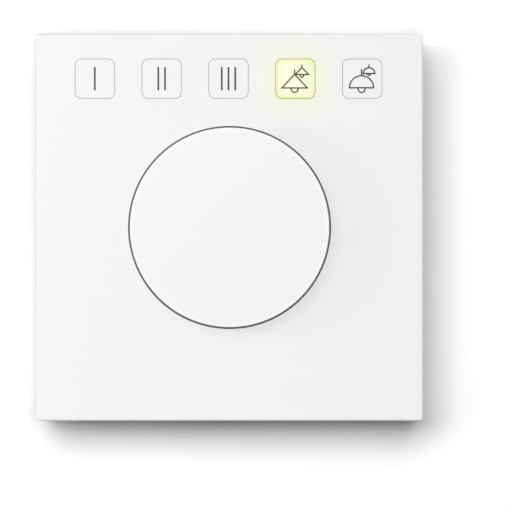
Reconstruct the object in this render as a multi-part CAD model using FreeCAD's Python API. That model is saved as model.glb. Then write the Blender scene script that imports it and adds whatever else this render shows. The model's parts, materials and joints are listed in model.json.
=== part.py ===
import FreeCAD, Part
import math
import os

Vec = FreeCAD.Vector

# A wall-mounted controller: a square glass front with five touch fields and a rotary dial.
# Everything is drawn as it is seen from the front: x to the right, y up the wall and z out
# of the wall, in millimetres, with the wall's surface at z = 0 behind the dial's axis.
# export() then stands each piece up, so that the finished part has z up and its front on -y.

# Glass front
PLATE_SIDE = 86.0
PLATE_THICK = 2.0
PLATE_CORNER = 0.7
PLATE_EDGE = 0.4
BODY_DEPTH = 11.0
STEM_HOLE = 14.0

# Touch fields, in a row along the top edge
FIELD_COUNT = 5
FIELD_PITCH = 14.87
FIELD_FROM_TOP = 9.95
FIELD_SIDE = 8.9
FIELD_CORNER = 1.4
FIELD_CLEAR = 0.15

# Tape and touch foil behind the glass
TAPE_THICK = 0.2
TAPE_WIDTH = 2.2
TAPE_INSET = 0.8
TAPE_STEM_GAP = 0.5
FOIL_MARGIN = 1.8
FOIL_FRAME = 0.5
FOIL_CLEAR = 0.5
TAIL_WIDTH = 8.0
TAIL_BEND = 0.8
TAIL_DROP = 2.9

# Moulded frame that carries the glass
FRAME_INSET = 0.3
FRAME_DRAFT = 0.25
FRAME_CORNER = 1.2
FRAME_WALL = 2.0
FRAME_OFF_WALL = 0.3
CAVITY_CORNER = 0.6
DECK_THICK = 1.5
RIB = 1.0
RIB_HEIGHT = 1.2
BOSS_WALL = 2.0
BOSS_SETBACK = 0.5
GUSSET_COUNT = 8
GUSSET_REACH = 8.0
GUSSET_HEIGHT = 2.4
GUSSET_SINK = 0.5
POST_D = 5.0
POST_FROM_WALL = 0.7
POST_DROP = 4.5
SCREW_ROOF = 0.6
PRY_SLOT = (8.0, 1.4)

# Light path of a field
LIGHT_DEPTH = 2.6
GUIDE_FLANGE = 0.6
GUIDE_LIP = 0.6
GUIDE_EDGE = 0.5
GUIDE_SLOPE = 1.4
GUIDE_WELL = 0.35
FUNNEL_FOOT = 4.4
FUNNEL_INSET = 0.3
FUNNEL_WALL = 0.8
PEG_D = 1.6
PEG_CLEAR = 0.1
LED_SIZE = (3.5, 2.8, 0.9)
LED_BOWL = (2.2, 1.6, 0.3)

# Circuit boards and what is soldered to them
BOARD_THICK = 1.0
BOARD_GAP = 0.3
BOARD_CORNER = 1.5
BOARD_HOLE_CLEAR = 0.6
SUPPLY_THICK = 1.6
CONTROLLER_SIZE = (7.0, 1.0)
TOUCH_CHIP_SIZE = (5.0, 0.9)
SUPPLY_CHIP_SIZE = (5.0, 1.0)
CHIP_DRAFT = 0.3
CHIP_DOT = (0.7, 0.1)
CHIP_DOT_AT = 1.0
SMALL_PART = (0.9, 1.6, 0.7)
SMALL_PITCH = 1.9
SMALL_GAP = 0.8
CONNECTOR_SIZE = (10.0, 3.6, 1.8)
CONNECTOR_GRIP = 1.0
CONNECTOR_CLEAR = 0.05
CONNECTOR_GAP = 0.6
HEADER_PINS = 5
HEADER_PITCH = 2.54
HEADER_FOOT = (0.64, 0.2)
HEADER_FOOT_OUT = 0.5
HALL_SIZE = (2.9, 1.3, 1.0)
HALL_FROM_SWITCH = 0.95
HALL_LEG = (0.4, 0.6, 0.1)
HALL_LEG_SPACING = 0.95
CAN_D = 6.3
CAN_TALL = 5.8
CAN_WAIST = 0.3
CAN_WAIST_AT = 1.5
CAN_FOOT = 0.5
CAN_FOOT_MARGIN = 0.15
CHOKE_D = 8.0
CHOKE_WINDING_DEPTH = 0.6
CHOKE_FLANGE = 0.8
CHOKE_TALL = 4.2

# Rear housing and its insert for the wall box
TRAY_FLOOR = 1.2
TRAY_WALL = 1.4
TRAY_GAP = 0.3
INSERT_SIDE = 46.0
INSERT_CORNER = 9.0
INSERT_DEPTH = 15.5
INSERT_WALL = 1.5
INSERT_DRAFT = 0.3
HOOK_WIDTH = 5.0
HOOK_LENGTH = 9.0
HOOK_SPACING = 16.0
HOOK_CATCH = 1.0
HOOK_RAMP = 3.0
HOOK_TIP = 0.6
HOOK_PLAY = 0.05
HOOK_SLOT = 0.8
STANDOFF_D = 4.4
STANDOFF_INSET = 4.9

# Wall bracket
BRACKET_INSET = 7.5
BRACKET_THICK = 1.0
BRACKET_CORNER = 6.0
BRACKET_GAP = 1.2
CATCH_DEPTH = 0.5
CATCH_MARGIN = 0.6
BOX_SCREW_SPACING = 60.0
SLOT_WIDTH = 4.2
SLOT_LENGTH = 6.6
HEAD_ROOM = 9.5
TAB_WIDTH = 12.0
TAB_HEIGHT = 3.2
TAB_BEND = 0.9
TAB_ROOT = 4.0
TAB_CLEAR = 0.3

# Screws
HOUSING_SCREW_D = 2.2
HOUSING_HEAD_D = 4.2
HOUSING_HEAD = 1.2
SUPPLY_SCREW_D = 1.8
SUPPLY_HEAD_D = 3.4
SUPPLY_HEAD = 1.1
SUPPLY_SCREW_LENGTH = 5.0
THREAD_CLEAR = 0.05
SCREW_CLEAR = 0.2
SCREW_END_GAP = 0.3
RECESS_SHARE = 0.6

# Dial
DIAL_D = 45.0
DIAL_HEIGHT = 3.0
DIAL_RIM = 0.35
DIAL_WEB = 1.2
DIAL_FLOOR = 1.0
DIAL_SKIRT = 1.2
DIAL_HUB_D = 11.0
DIAL_FRONT_EDGE = 0.1
DIAL_BACK_EDGE = 0.2
INLAY_THICK = 1.0
INLAY_EDGE = 0.12
FIT_CLEAR = 0.02
DIAL_SCREW_D = 2.5
DIAL_SCREW_HEAD_D = 4.5
DIAL_SCREW_HEAD = 1.0
DIAL_SCREW_LENGTH = 6.0
DIAL_SCREW_POINT = 0.3
TAP_EXTRA = 0.5

# Push of the dial
PUSH_TRAVEL = 0.4
STOP_CLEAR = 0.2

# Spindle and what turns on it
SPINDLE_D = 6.0
FLAT_DEPTH = 0.5
RUNNING_CLEAR = 0.03
END_PLAY = 0.05
BUSH_LENGTH = 5.8
BUSH_WALL = 1.5
BUSH_LEAD = 0.2
BUSH_FLANGE = 1.5
BUSH_FLANGE_THICK = 0.8
WASHER_D = 9.8
WASHER_THICK = 0.4
CLIP_D = 9.0
CLIP_THICK = 0.6
CLIP_GROOVE = 0.7
CLIP_BITE = 0.02
CLIP_LUG = (1.6, 0.8)
CLIP_RING_CLEAR = 0.3
WHEEL_GAP = 0.1
MAGNET_BORE = 7.0
MAGNET_D = 12.4
MAGNET_THICK = 2.0
TIP_D = 3.0
TIP_LENGTH = 0.8
TIP_EDGE = 0.4

# Detent wheel and leaf spring
DETENTS = 24
WHEEL_D = 18.0
WHEEL_THICK = 2.4
NOTCH_DEPTH = 0.5
NOSE_BEND = 0.7
NOSE_CLEAR = 0.12
LEAF_THICK = 0.25
LEAF_WIDTH = 1.9
LEAF_RISE = 1.4
LEAF_SPAN = 19.0
LEAF_POST = (2.6, 3.2)
LEAF_CLEAR = 0.05
LEAF_END_GAP = 0.2

# Push switch under the spindle
SWITCH_SIDE = 6.2
SWITCH_CORNER = 0.4
SWITCH_BODY = 1.8
SWITCH_LEG = (1.0, 0.7, 0.2)
SWITCH_LEG_INSET = 0.9
PLUNGER_D = 3.2
PLUNGER_OUT = 0.8
PLUNGER_IN = 0.8
PLUNGER_EDGE = 0.2
PLUNGER_CLEAR = 0.05
TOUCH_GAP = 0.02

# Bus terminal
TERMINAL_POLES = 2
TERMINAL_PITCH = 5.0
TERMINAL_SIDE = 0.2
TERMINAL_DEEP = 8.4
TERMINAL_BEVEL = 1.6
TERMINAL_WIRE = (3.2, 3.0)
TERMINAL_WIRE_DEPTH = 4.0
TERMINAL_WIRE_AT = 2.4
TERMINAL_SCREW_D = 3.8
TERMINAL_SCREW_DEPTH = 2.0
TERMINAL_SCREW_SUNK = 0.4
TERMINAL_SCREW_UP = 0.8
TERMINAL_SLOT = 0.7
TERMINAL_CLEAR = 0.25

# Small overshoot that lets a cutting tool pass right through a face
OVER = 1.0

# Heights along z, from the glass down to the insert
GLASS_FRONT = BODY_DEPTH
GLASS_BACK = GLASS_FRONT - PLATE_THICK
DECK_TOP = GLASS_BACK - TAPE_THICK
DECK_BOTTOM = DECK_TOP - DECK_THICK
BOARD_TOP = DECK_BOTTOM - LIGHT_DEPTH
BOARD_BOTTOM = BOARD_TOP - BOARD_THICK
TRAY_BACK = BRACKET_THICK
TRAY_TOP = TRAY_BACK + TRAY_FLOOR
BUSH_BOTTOM = DECK_TOP - BUSH_LENGTH
WASHER_TOP = BUSH_BOTTOM - END_PLAY
CLIP_TOP = WASHER_TOP - WASHER_THICK
CLIP_BOTTOM = CLIP_TOP - CLIP_THICK
WHEEL_TOP = CLIP_BOTTOM - WHEEL_GAP
WHEEL_BOTTOM = WHEEL_TOP - WHEEL_THICK
MAGNET_BOTTOM = WHEEL_BOTTOM - MAGNET_THICK
SPINDLE_TIP = MAGNET_BOTTOM - TIP_LENGTH
PLUNGER_TOP = SPINDLE_TIP - TOUCH_GAP
SWITCH_TOP = PLUNGER_TOP - PLUNGER_OUT
SUPPLY_FRONT = SWITCH_TOP - SWITCH_BODY
SUPPLY_BACK = SUPPLY_FRONT - SUPPLY_THICK
INSERT_BACK = -INSERT_DEPTH
INSERT_FLOOR = INSERT_BACK + INSERT_WALL

# Heights of the dial
DIAL_GAP = PUSH_TRAVEL + STOP_CLEAR
DIAL_FRONT = GLASS_FRONT + DIAL_HEIGHT
DIAL_BACK = GLASS_FRONT + DIAL_GAP
INLAY_SEAT = DIAL_FRONT - INLAY_THICK
SPINDLE_TOP = INLAY_SEAT - DIAL_WEB
HUB_BACK = DECK_TOP + DIAL_GAP

# Sizes in the plane of the wall
FIELD_Y = PLATE_SIDE / 2 - FIELD_FROM_TOP
FIELD_XS = [FIELD_PITCH * (i - (FIELD_COUNT - 1) / 2) for i in range(FIELD_COUNT)]
FRAME_FRONT_SIDE = PLATE_SIDE - 2 * FRAME_INSET
FRAME_BACK_SIDE = FRAME_FRONT_SIDE - 2 * FRAME_DRAFT
CAVITY_SIDE = FRAME_BACK_SIDE - 2 * FRAME_WALL
TRAY_SIDE = CAVITY_SIDE - 2 * TRAY_GAP
MAIN_BOARD_SIDE = CAVITY_SIDE - 2 * BOARD_GAP
INSERT_CAVITY = INSERT_SIDE - 2 * INSERT_WALL
INSERT_CAVITY_CORNER = INSERT_CORNER - INSERT_WALL
SUPPLY_SIDE = INSERT_CAVITY - 2 * BOARD_GAP
BRACKET_SIDE = PLATE_SIDE - 2 * BRACKET_INSET
BRACKET_OPENING = INSERT_SIDE + 2 * BRACKET_GAP
BUSH_BORE_R = SPINDLE_D / 2 + RUNNING_CLEAR
BUSH_R = BUSH_BORE_R + BUSH_WALL
FLANGE_R = BUSH_R + BUSH_FLANGE
BOSS_R = BUSH_R + BOSS_WALL
POST_X = CAVITY_SIDE / 2 - POST_FROM_WALL - POST_D / 2
POST_LOW_Y = -POST_X
POST_HIGH_Y = FIELD_Y - FIELD_SIDE / 2 - POST_DROP
POSTS = [(x, y) for x in (-POST_X, POST_X) for y in (POST_LOW_Y, POST_HIGH_Y)]
PEG_X = FIELD_PITCH * (FIELD_COUNT - 2) / 2
BOX_SCREW_AT = BOX_SCREW_SPACING / 2
BOX_SCREWS = [(BOX_SCREW_AT, 0), (-BOX_SCREW_AT, 0), (0, BOX_SCREW_AT), (0, -BOX_SCREW_AT)]
SLOT_EXTRA = SLOT_LENGTH - SLOT_WIDTH
TAB_Y = BRACKET_SIDE / 2 - BRACKET_THICK / 2
STANDOFF_AT = INSERT_CAVITY / 2 - STANDOFF_INSET
HOOKS = [(side, y) for side in (-1, 1) for y in (-HOOK_SPACING / 2, HOOK_SPACING / 2)]
STANDOFFS = [(x, y) for x in (-STANDOFF_AT, STANDOFF_AT) for y in (-STANDOFF_AT, STANDOFF_AT)]
SUPPLY_SCREWS = [(-STANDOFF_AT, STANDOFF_AT), (STANDOFF_AT, -STANDOFF_AT)]

# The leaf spring's straight line, its nose and the posts that hold its ends
WHEEL_R = WHEEL_D / 2
NOSE_R = NOSE_BEND + LEAF_THICK / 2
NOTCH_R = NOSE_R + NOSE_CLEAR
NOTCH_CENTRE = WHEEL_R - NOTCH_DEPTH + NOTCH_R
LEAF_Y = WHEEL_R + LEAF_RISE
NOSE_POINT = NOTCH_CENTRE - NOSE_BEND * math.sqrt(2)
LEAF_POST_X = LEAF_SPAN / 2
LEAF_REACH = math.hypot(LEAF_POST_X + LEAF_POST[0] / 2, LEAF_Y + LEAF_POST[1] / 2)
BOARD_HOLE_R = LEAF_REACH + BOARD_HOLE_CLEAR

# What stands on the boards
CONTROLLER_AT = (-MAIN_BOARD_SIDE / 3, -MAIN_BOARD_SIDE / 5)
TOUCH_CHIP_AT = (MAIN_BOARD_SIDE / 3, MAIN_BOARD_SIDE / 8)
SUPPLY_CHIP_AT = (INSERT_CAVITY / 4, INSERT_CAVITY / 4)
CAN_AT = (INSERT_CAVITY / 3, -INSERT_CAVITY / 5)
CHOKE_AT = (INSERT_CAVITY / 5, INSERT_CAVITY / 5)
HALL_Y = -(SWITCH_SIDE / 2 + HALL_FROM_SWITCH + HALL_SIZE[1] / 2)
HEADER_X = -(BOARD_HOLE_R + HEADER_PITCH / 2 + HEADER_FOOT_OUT + BOARD_GAP)
HEADER_YS = [HEADER_PITCH * (i - (HEADER_PINS - 1) / 2) for i in range(HEADER_PINS)]

# Foil, its tail and the tail's connector
FOIL_WIDTH = FIELD_XS[-1] - FIELD_XS[0] + FIELD_SIDE + 2 * FOIL_MARGIN
FOIL_HEIGHT = FIELD_SIDE + 2 * FOIL_MARGIN
FOIL_BOTTOM = FIELD_Y - FOIL_HEIGHT / 2
TAIL_Y = FOIL_BOTTOM - TAIL_DROP
CONNECTOR_Y = TAIL_Y - TAIL_BEND - CONNECTOR_SIZE[1] / 2 - CONNECTOR_GAP
CONNECTOR_MOUTH = BOARD_TOP + CONNECTOR_SIZE[2] / 2
TAIL_END_Y = CONNECTOR_Y + CONNECTOR_SIZE[1] / 2 - CONNECTOR_GRIP

# Terminal block at the bottom of the insert
TERMINAL_WIDTH = TERMINAL_POLES * TERMINAL_PITCH + 2 * TERMINAL_SIDE
TERMINAL_LOW_Y = -INSERT_SIDE / 2 + INSERT_DRAFT
TERMINAL_Y = TERMINAL_LOW_Y + TERMINAL_DEEP / 2
TERMINAL_SCREW_Y = TERMINAL_Y + TERMINAL_SCREW_UP
TERMINAL_XS = [TERMINAL_PITCH * (i - (TERMINAL_POLES - 1) / 2) for i in range(TERMINAL_POLES)]


def closed(points):
    """A closed outline with straight sides through the given points."""
    corners = [Vec(*point) for point in points]
    return Part.makePolygon(corners + corners[:1])


def rounded_rectangle(width, height, radius, z, x=0.0, y=0.0):
    """A closed outline with four round corners, lying flat at height z."""
    right = width / 2
    top = height / 2
    inset = radius * (1 - math.sqrt(0.5))
    edges = []
    for turn in range(4):
        # Each quarter is the same corner, turned, with width and height changing places.
        a, b = (right, top) if turn % 2 == 0 else (top, right)
        start, middle, end = Vec(a, b - radius, 0), Vec(a - inset, b - inset, 0), Vec(a - radius, b, 0)
        for edge in (Part.makeLine(Vec(a, radius - b, 0), start), Part.Arc(start, middle, end).toShape()):
            edge.rotate(Vec(0, 0, 0), Vec(0, 0, 1), 90 * turn)
            edges.append(edge)
    outline = Part.Wire(Part.__sortEdges__(edges))
    outline.translate(Vec(x, y, z))
    return outline


def slab(width, height, radius, z_low, z_high, x=0.0, y=0.0):
    """A flat block with round corners."""
    outline = rounded_rectangle(width, height, radius, z_low, x, y)
    return Part.Face(outline).extrude(Vec(0, 0, z_high - z_low))


def block(width, height, z_low, z_high, x=0.0, y=0.0):
    """A plain block about the point x, y."""
    corner = Vec(x - width / 2, y - height / 2, z_low)
    return Part.makeBox(width, height, z_high - z_low, corner)


def tapered(low_side, high_side, z_low, z_high, x=0.0, y=0.0):
    """A square block whose flat sides lean in or out from one face to the other."""
    low, high = low_side / 2, high_side / 2
    wedge = Part.makeWedge(-low, z_low, -low, -high, -high, low, z_high, low, high, high)
    wedge.rotate(Vec(0, 0, 0), Vec(1, 0, 0), 90)
    wedge.translate(Vec(x, y, 0))
    return wedge


def disc(radius, z_low, z_high, x=0.0, y=0.0):
    return Part.makeCylinder(radius, z_high - z_low, Vec(x, y, z_low))


def ring(outer, inner, z_low, z_high, x=0.0, y=0.0):
    hole = disc(inner, z_low - OVER, z_high + OVER, x, y)
    return disc(outer, z_low, z_high, x, y).cut(hole)


def turned(profile, x=0.0, y=0.0):
    """A solid turned about an axis along z from (radius, height) points."""
    face = Part.Face(closed([(x + radius, y, z) for radius, z in profile]))
    return face.revolve(Vec(x, y, 0), Vec(0, 0, 1), 360)


def lofted(lower, upper):
    return Part.makeLoft([lower, upper], True, True)


def fused(shapes):
    first, rest = shapes[0], shapes[1:]
    return first.fuse(rest).removeSplitter() if rest else first


def bent_path(points, radius):
    """An open path of straight runs joined by tangent arcs of one radius."""
    corners = [Vec(x, y, 0) for x, y in points]
    edges = []
    start = corners[0]
    for before, corner, after in zip(corners, corners[1:], corners[2:]):
        way_in = (corner - before).normalize()
        way_out = (after - corner).normalize()
        half_turn = way_in.getAngle(way_out) / 2
        reach = radius * math.tan(half_turn)
        entry = corner - way_in * reach
        leave = corner + way_out * reach
        inward = (way_out - way_in).normalize()
        middle = corner + inward * (radius / math.cos(half_turn) - radius)
        edges.append(Part.makeLine(start, entry))
        edges.append(Part.Arc(entry, middle, leave).toShape())
        start = leave
    edges.append(Part.makeLine(start, corners[-1]))
    return Part.Wire(edges)


def strip(points, radius, thick, width):
    """A bent strip of sheet: its edge follows the path in x and y, its width runs up from z = 0."""
    face = bent_path(points, radius).makeOffset2D(thick / 2, 0, True, True)
    return face.extrude(Vec(0, 0, width))


def side_strip(points, radius, thick, width):
    """A bent strip, centred on x = 0, whose path is given as (y, z) points."""
    bent = strip(points, radius, thick, width)
    bent.rotate(Vec(0, 0, 0), Vec(1, 1, 1), 120)
    bent.translate(Vec(-width / 2, 0, 0))
    return bent


def d_shaft(radius, z_low, z_high):
    """A round bar with one flat, on its right side."""
    keep = block(4 * radius, 4 * radius, z_low, z_high, -radius - FLAT_DEPTH)
    return disc(radius, z_low, z_high).common(keep)


def cross_recess(x, y, z, size, depth):
    """A cross-shaped driver recess that opens towards the wall."""
    blade = size / 4
    return fused([block(size, blade, z, z + depth, x, y), block(blade, size, z, z + depth, x, y)])


# Glass front, tape and foil

def front_glass():
    glass = slab(PLATE_SIDE, PLATE_SIDE, PLATE_CORNER, GLASS_BACK, GLASS_FRONT)
    front_edges = [e for e in glass.Edges if e.BoundBox.ZMin > (GLASS_BACK + GLASS_FRONT) / 2]
    round_off = min(PLATE_EDGE, 0.8 * PLATE_CORNER, 0.8 * PLATE_THICK)
    glass = glass.makeFillet(round_off, front_edges)
    return glass.cut(disc(STEM_HOLE / 2, GLASS_BACK - OVER, GLASS_FRONT + OVER))


def glass_tape():
    """A die-cut sheet: a band round the edge, a bar under the foil and a ring round the stem."""
    side = PLATE_SIDE - 2 * TAPE_INSET
    inner = side - 2 * TAPE_WIDTH
    low, high = DECK_TOP, GLASS_BACK
    bar_high = FOIL_BOTTOM - FOIL_CLEAR
    bar_low = TAIL_Y - FOIL_CLEAR - TAPE_WIDTH
    ring_inner = STEM_HOLE / 2 + TAPE_STEM_GAP
    upper = block(inner, inner / 2 - bar_high, low, high, 0, (inner / 2 + bar_high) / 2)
    lower = block(inner, inner / 2 + bar_low, low, high, 0, (bar_low - inner / 2) / 2)
    upright = block(TAPE_WIDTH, inner, low, high)
    around_stem = disc(ring_inner + TAPE_WIDTH, low, high)
    lower = lower.cut([upright, around_stem])
    tail_low = TAIL_Y - 2 * FOIL_CLEAR
    tail_room = block(TAIL_WIDTH + 2 * FOIL_CLEAR, bar_high - tail_low, low, high,
                      0, (bar_high + tail_low) / 2)
    tape = slab(side, side, PLATE_CORNER, low, high)
    return tape.cut([upper, lower, tail_room, disc(ring_inner, low, high)])


def touch_foil():
    """Five framed electrodes in one foil, and its tail down to the main board."""
    foil = slab(FOIL_WIDTH, FOIL_HEIGHT, FIELD_CORNER, DECK_TOP, GLASS_BACK, 0, FIELD_Y)
    window = FIELD_SIDE - 2 * FOIL_FRAME
    windows = [block(window, window, DECK_TOP - OVER, GLASS_BACK + OVER, x, FIELD_Y) for x in FIELD_XS]
    middle = (DECK_TOP + GLASS_BACK) / 2
    route = [(FOIL_BOTTOM + FOIL_FRAME, middle), (TAIL_Y, middle),
             (TAIL_Y, CONNECTOR_MOUTH), (TAIL_END_Y, CONNECTOR_MOUTH)]
    tail = side_strip(route, TAIL_BEND, TAPE_THICK, TAIL_WIDTH)
    return fused([foil.cut(windows), tail])


# Moulded frame

def frame_shell():
    """Drafted outer walls under a deck, open towards the wall."""
    back = rounded_rectangle(FRAME_BACK_SIDE, FRAME_BACK_SIDE, FRAME_CORNER, FRAME_OFF_WALL)
    front = rounded_rectangle(FRAME_FRONT_SIDE, FRAME_FRONT_SIDE, FRAME_CORNER, DECK_TOP)
    cavity = slab(CAVITY_SIDE, CAVITY_SIDE, CAVITY_CORNER, FRAME_OFF_WALL - OVER, DECK_BOTTOM)
    return lofted(back, front).cut(cavity)


def frame_ribs():
    """Stiffening ribs under the deck, below the field row."""
    low, high = DECK_BOTTOM - RIB_HEIGHT, DECK_BOTTOM
    reach = CAVITY_SIDE / 2
    top = CONNECTOR_Y - CONNECTOR_SIZE[1]
    side = INSERT_SIDE / 2
    upright = [block(RIB, reach + top, low, high, x, (top - reach) / 2) for x in (-side, side)]
    level = [block(CAVITY_SIDE, RIB, low, high, 0, y) for y in (-side, top)]
    return upright + level


def frame_gussets():
    """Radial ribs between the boss and the deck, inside the main board's hole."""
    ribs = []
    for turn in range(GUSSET_COUNT):
        rib = block(GUSSET_REACH, RIB, DECK_BOTTOM - GUSSET_HEIGHT, DECK_BOTTOM,
                    BOSS_R - GUSSET_SINK + GUSSET_REACH / 2, 0)
        rib.rotate(Vec(0, 0, 0), Vec(0, 0, 1), 360 * (turn + 0.5) / GUSSET_COUNT)
        ribs.append(rib)
    return ribs


def leaf_posts():
    """Two posts, one for each end of the detent spring."""
    return [block(LEAF_POST[0], LEAF_POST[1], WHEEL_BOTTOM, DECK_BOTTOM, side * LEAF_POST_X, LEAF_Y)
            for side in (-1, 1)]


def leaf_slots():
    """The slots in the posts that the ends of the detent spring slide into."""
    slot = LEAF_THICK + 2 * LEAF_CLEAR
    low, high = WHEEL_BOTTOM - OVER, WHEEL_TOP + LEAF_CLEAR
    return [block(LEAF_POST[0] + OVER, slot, low, high, side * LEAF_POST_X, LEAF_Y) for side in (-1, 1)]


def tail_slot():
    """The slot in the deck that the foil's tail passes through."""
    low_y = TAIL_Y - TAPE_THICK / 2 - FOIL_CLEAR
    high_y = TAIL_Y + TAIL_BEND + FOIL_CLEAR
    return block(TAIL_WIDTH + 2 * FOIL_CLEAR, high_y - low_y, DECK_BOTTOM - OVER, DECK_TOP + OVER,
                 0, (low_y + high_y) / 2)


def pry_slot():
    """A notch in the lower wall for the blade that releases the cover."""
    width, height = PRY_SLOT
    return block(width, 2 * FRAME_WALL + OVER, 0, FRAME_OFF_WALL + height, 0, -FRAME_BACK_SIDE / 2)


def cover_frame():
    boss = disc(BOSS_R, BUSH_BOTTOM + BOSS_SETBACK, DECK_BOTTOM)
    posts = [disc(POST_D / 2, BOARD_TOP, DECK_BOTTOM, x, y) for x, y in POSTS]
    frame = fused([frame_shell(), boss] + posts + frame_ribs() + frame_gussets() + leaf_posts())
    window = FIELD_SIDE + 2 * FIELD_CLEAR
    low, high = DECK_BOTTOM - OVER, DECK_TOP + OVER
    windows = [slab(window, window, FIELD_CORNER + FIELD_CLEAR, low, high, x, FIELD_Y) for x in FIELD_XS]
    pilot_r = HOUSING_SCREW_D / 2 + THREAD_CLEAR
    pilots = [disc(pilot_r, BOARD_TOP - OVER, DECK_TOP - SCREW_ROOF, x, y) for x, y in POSTS]
    bush_seat = [disc(BUSH_R, BUSH_BOTTOM - OVER, high), disc(FLANGE_R, DECK_TOP - BUSH_FLANGE_THICK, high)]
    return frame.cut(windows + pilots + bush_seat + leaf_slots() + [tail_slot(), pry_slot()])


# Light path of the fields

def light_guide(x):
    """A clear block that fills a window, with a flange under the deck and a well in its back."""
    back = DECK_BOTTOM - GUIDE_FLANGE
    guide = slab(FIELD_SIDE, FIELD_SIDE, FIELD_CORNER, back, DECK_TOP, x, FIELD_Y)
    wide = FIELD_SIDE + 2 * GUIDE_LIP
    flange = block(wide, wide, back, DECK_BOTTOM, x, FIELD_Y)
    mouth = FIELD_SIDE - 2 * GUIDE_EDGE
    well = tapered(mouth, mouth - 2 * GUIDE_SLOPE, back, back + GUIDE_WELL, x, FIELD_Y)
    return fused([guide, flange]).cut(well)


def reflector_block():
    """A white block with one square funnel over each light, and two pegs into the board."""
    top = DECK_BOTTOM - GUIDE_FLANGE
    mouth = FIELD_SIDE - 2 * FUNNEL_INSET
    length = FIELD_XS[-1] - FIELD_XS[0] + mouth + 2 * FUNNEL_WALL
    body = block(length, mouth + 2 * FUNNEL_WALL, BOARD_TOP, top, 0, FIELD_Y)
    pegs = [disc(PEG_D / 2, BOARD_BOTTOM, BOARD_TOP, x, FIELD_Y) for x in (-PEG_X, PEG_X)]
    funnels = [tapered(FUNNEL_FOOT, mouth, BOARD_TOP, top, x, FIELD_Y) for x in FIELD_XS]
    return fused([body] + pegs).cut(funnels)


def field_leds():
    """One light under each funnel, with the bowl that holds its lens."""
    width, height, tall = LED_SIZE
    mouth, floor, depth = LED_BOWL
    top = BOARD_TOP + tall
    leds = []
    for x in FIELD_XS:
        body = block(width, height, BOARD_TOP, top, x, FIELD_Y)
        leds.append(body.cut(tapered(floor, mouth, top - depth, top, x, FIELD_Y)))
    return Part.makeCompound(leds)


# Main board and what is on it

def main_board():
    board = slab(MAIN_BOARD_SIDE, MAIN_BOARD_SIDE, BOARD_CORNER, BOARD_BOTTOM, BOARD_TOP)
    low, high = BOARD_BOTTOM - OVER, BOARD_TOP + OVER
    holes = [disc(BOARD_HOLE_R, low, high)]
    holes += [disc(HOUSING_SCREW_D / 2 + SCREW_CLEAR, low, high, x, y) for x, y in POSTS]
    holes += [disc(PEG_D / 2 + PEG_CLEAR, low, high, x, FIELD_Y) for x in (-PEG_X, PEG_X)]
    return board.cut(holes)


def chip(size, place, z):
    """A flat moulded package with a dot that marks its first corner."""
    side, tall = size
    x, y = place
    top = z + tall
    dot_d, dot_depth = CHIP_DOT
    dot_at = side / 2 - CHIP_DOT_AT
    dot = disc(dot_d / 2, top - dot_depth, top + OVER, x - dot_at, y + dot_at)
    return tapered(side, side - CHIP_DRAFT, z, top, x, y).cut(dot)


def controller_chip():
    return chip(CONTROLLER_SIZE, CONTROLLER_AT, BOARD_TOP)


def touch_chip():
    return chip(TOUCH_CHIP_SIZE, TOUCH_CHIP_AT, BOARD_TOP)


def board_parts():
    """Rows of small resistors and capacitors beside the two chips."""
    width, height, tall = SMALL_PART
    parts = []
    for (x, y), (side, _) in ((CONTROLLER_AT, CONTROLLER_SIZE), (TOUCH_CHIP_AT, TOUCH_CHIP_SIZE)):
        away = side / 2 + SMALL_GAP + height / 2
        for row in (-1, 1):
            for step in (-1, 0, 1):
                parts.append(block(width, height, BOARD_TOP, BOARD_TOP + tall,
                                   x + step * SMALL_PITCH, y + row * away))
    return Part.makeCompound(parts)


def foil_connector():
    """The socket on the main board that grips the end of the foil's tail."""
    width, deep, tall = CONNECTOR_SIZE
    body = block(width, deep, BOARD_TOP, BOARD_TOP + tall, 0, CONNECTOR_Y)
    half = TAPE_THICK / 2 + CONNECTOR_CLEAR
    mouth_low = TAIL_END_Y - CONNECTOR_CLEAR
    mouth = block(TAIL_WIDTH + 2 * CONNECTOR_CLEAR, deep, CONNECTOR_MOUTH - half, CONNECTOR_MOUTH + half,
                  0, mouth_low + deep / 2)
    return body.cut(mouth)


def board_header():
    """The strip of contacts between the two boards, soldered flat to both."""
    width, thick = HEADER_FOOT
    low, high = SUPPLY_FRONT + thick, BOARD_BOTTOM - thick
    body = block(HEADER_PITCH, HEADER_PINS * HEADER_PITCH, low, high, HEADER_X, 0)
    reach = HEADER_PITCH + 2 * HEADER_FOOT_OUT
    feet = [block(reach, width, z, z + thick, HEADER_X, y) for y in HEADER_YS for z in (SUPPLY_FRONT, high)]
    return fused([body] + feet)


# Supply board and what is on it

def supply_board():
    board = slab(SUPPLY_SIDE, SUPPLY_SIDE, INSERT_CAVITY_CORNER - BOARD_GAP, SUPPLY_BACK, SUPPLY_FRONT)
    low, high = SUPPLY_BACK - OVER, SUPPLY_FRONT + OVER
    return board.cut([disc(SUPPLY_SCREW_D / 2 + SCREW_CLEAR, low, high, x, y) for x, y in SUPPLY_SCREWS])


def supply_chip():
    return chip(SUPPLY_CHIP_SIZE, SUPPLY_CHIP_AT, SUPPLY_FRONT)


def hall_sensor():
    """A small three-legged sensor that faces the ring magnet."""
    width, height, tall = HALL_SIZE
    leg_width, leg_out, standing = HALL_LEG
    body = block(width, height, SUPPLY_FRONT + standing, SUPPLY_FRONT + standing + tall, 0, HALL_Y)
    places = [(-HALL_LEG_SPACING, -1), (HALL_LEG_SPACING, -1), (0, 1)]
    reach = height / 2 + leg_out
    legs = [block(leg_width, reach, SUPPLY_FRONT, SUPPLY_FRONT + 2 * standing, x, HALL_Y + row * reach / 2)
            for x, row in places]
    return fused([body] + legs)


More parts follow.
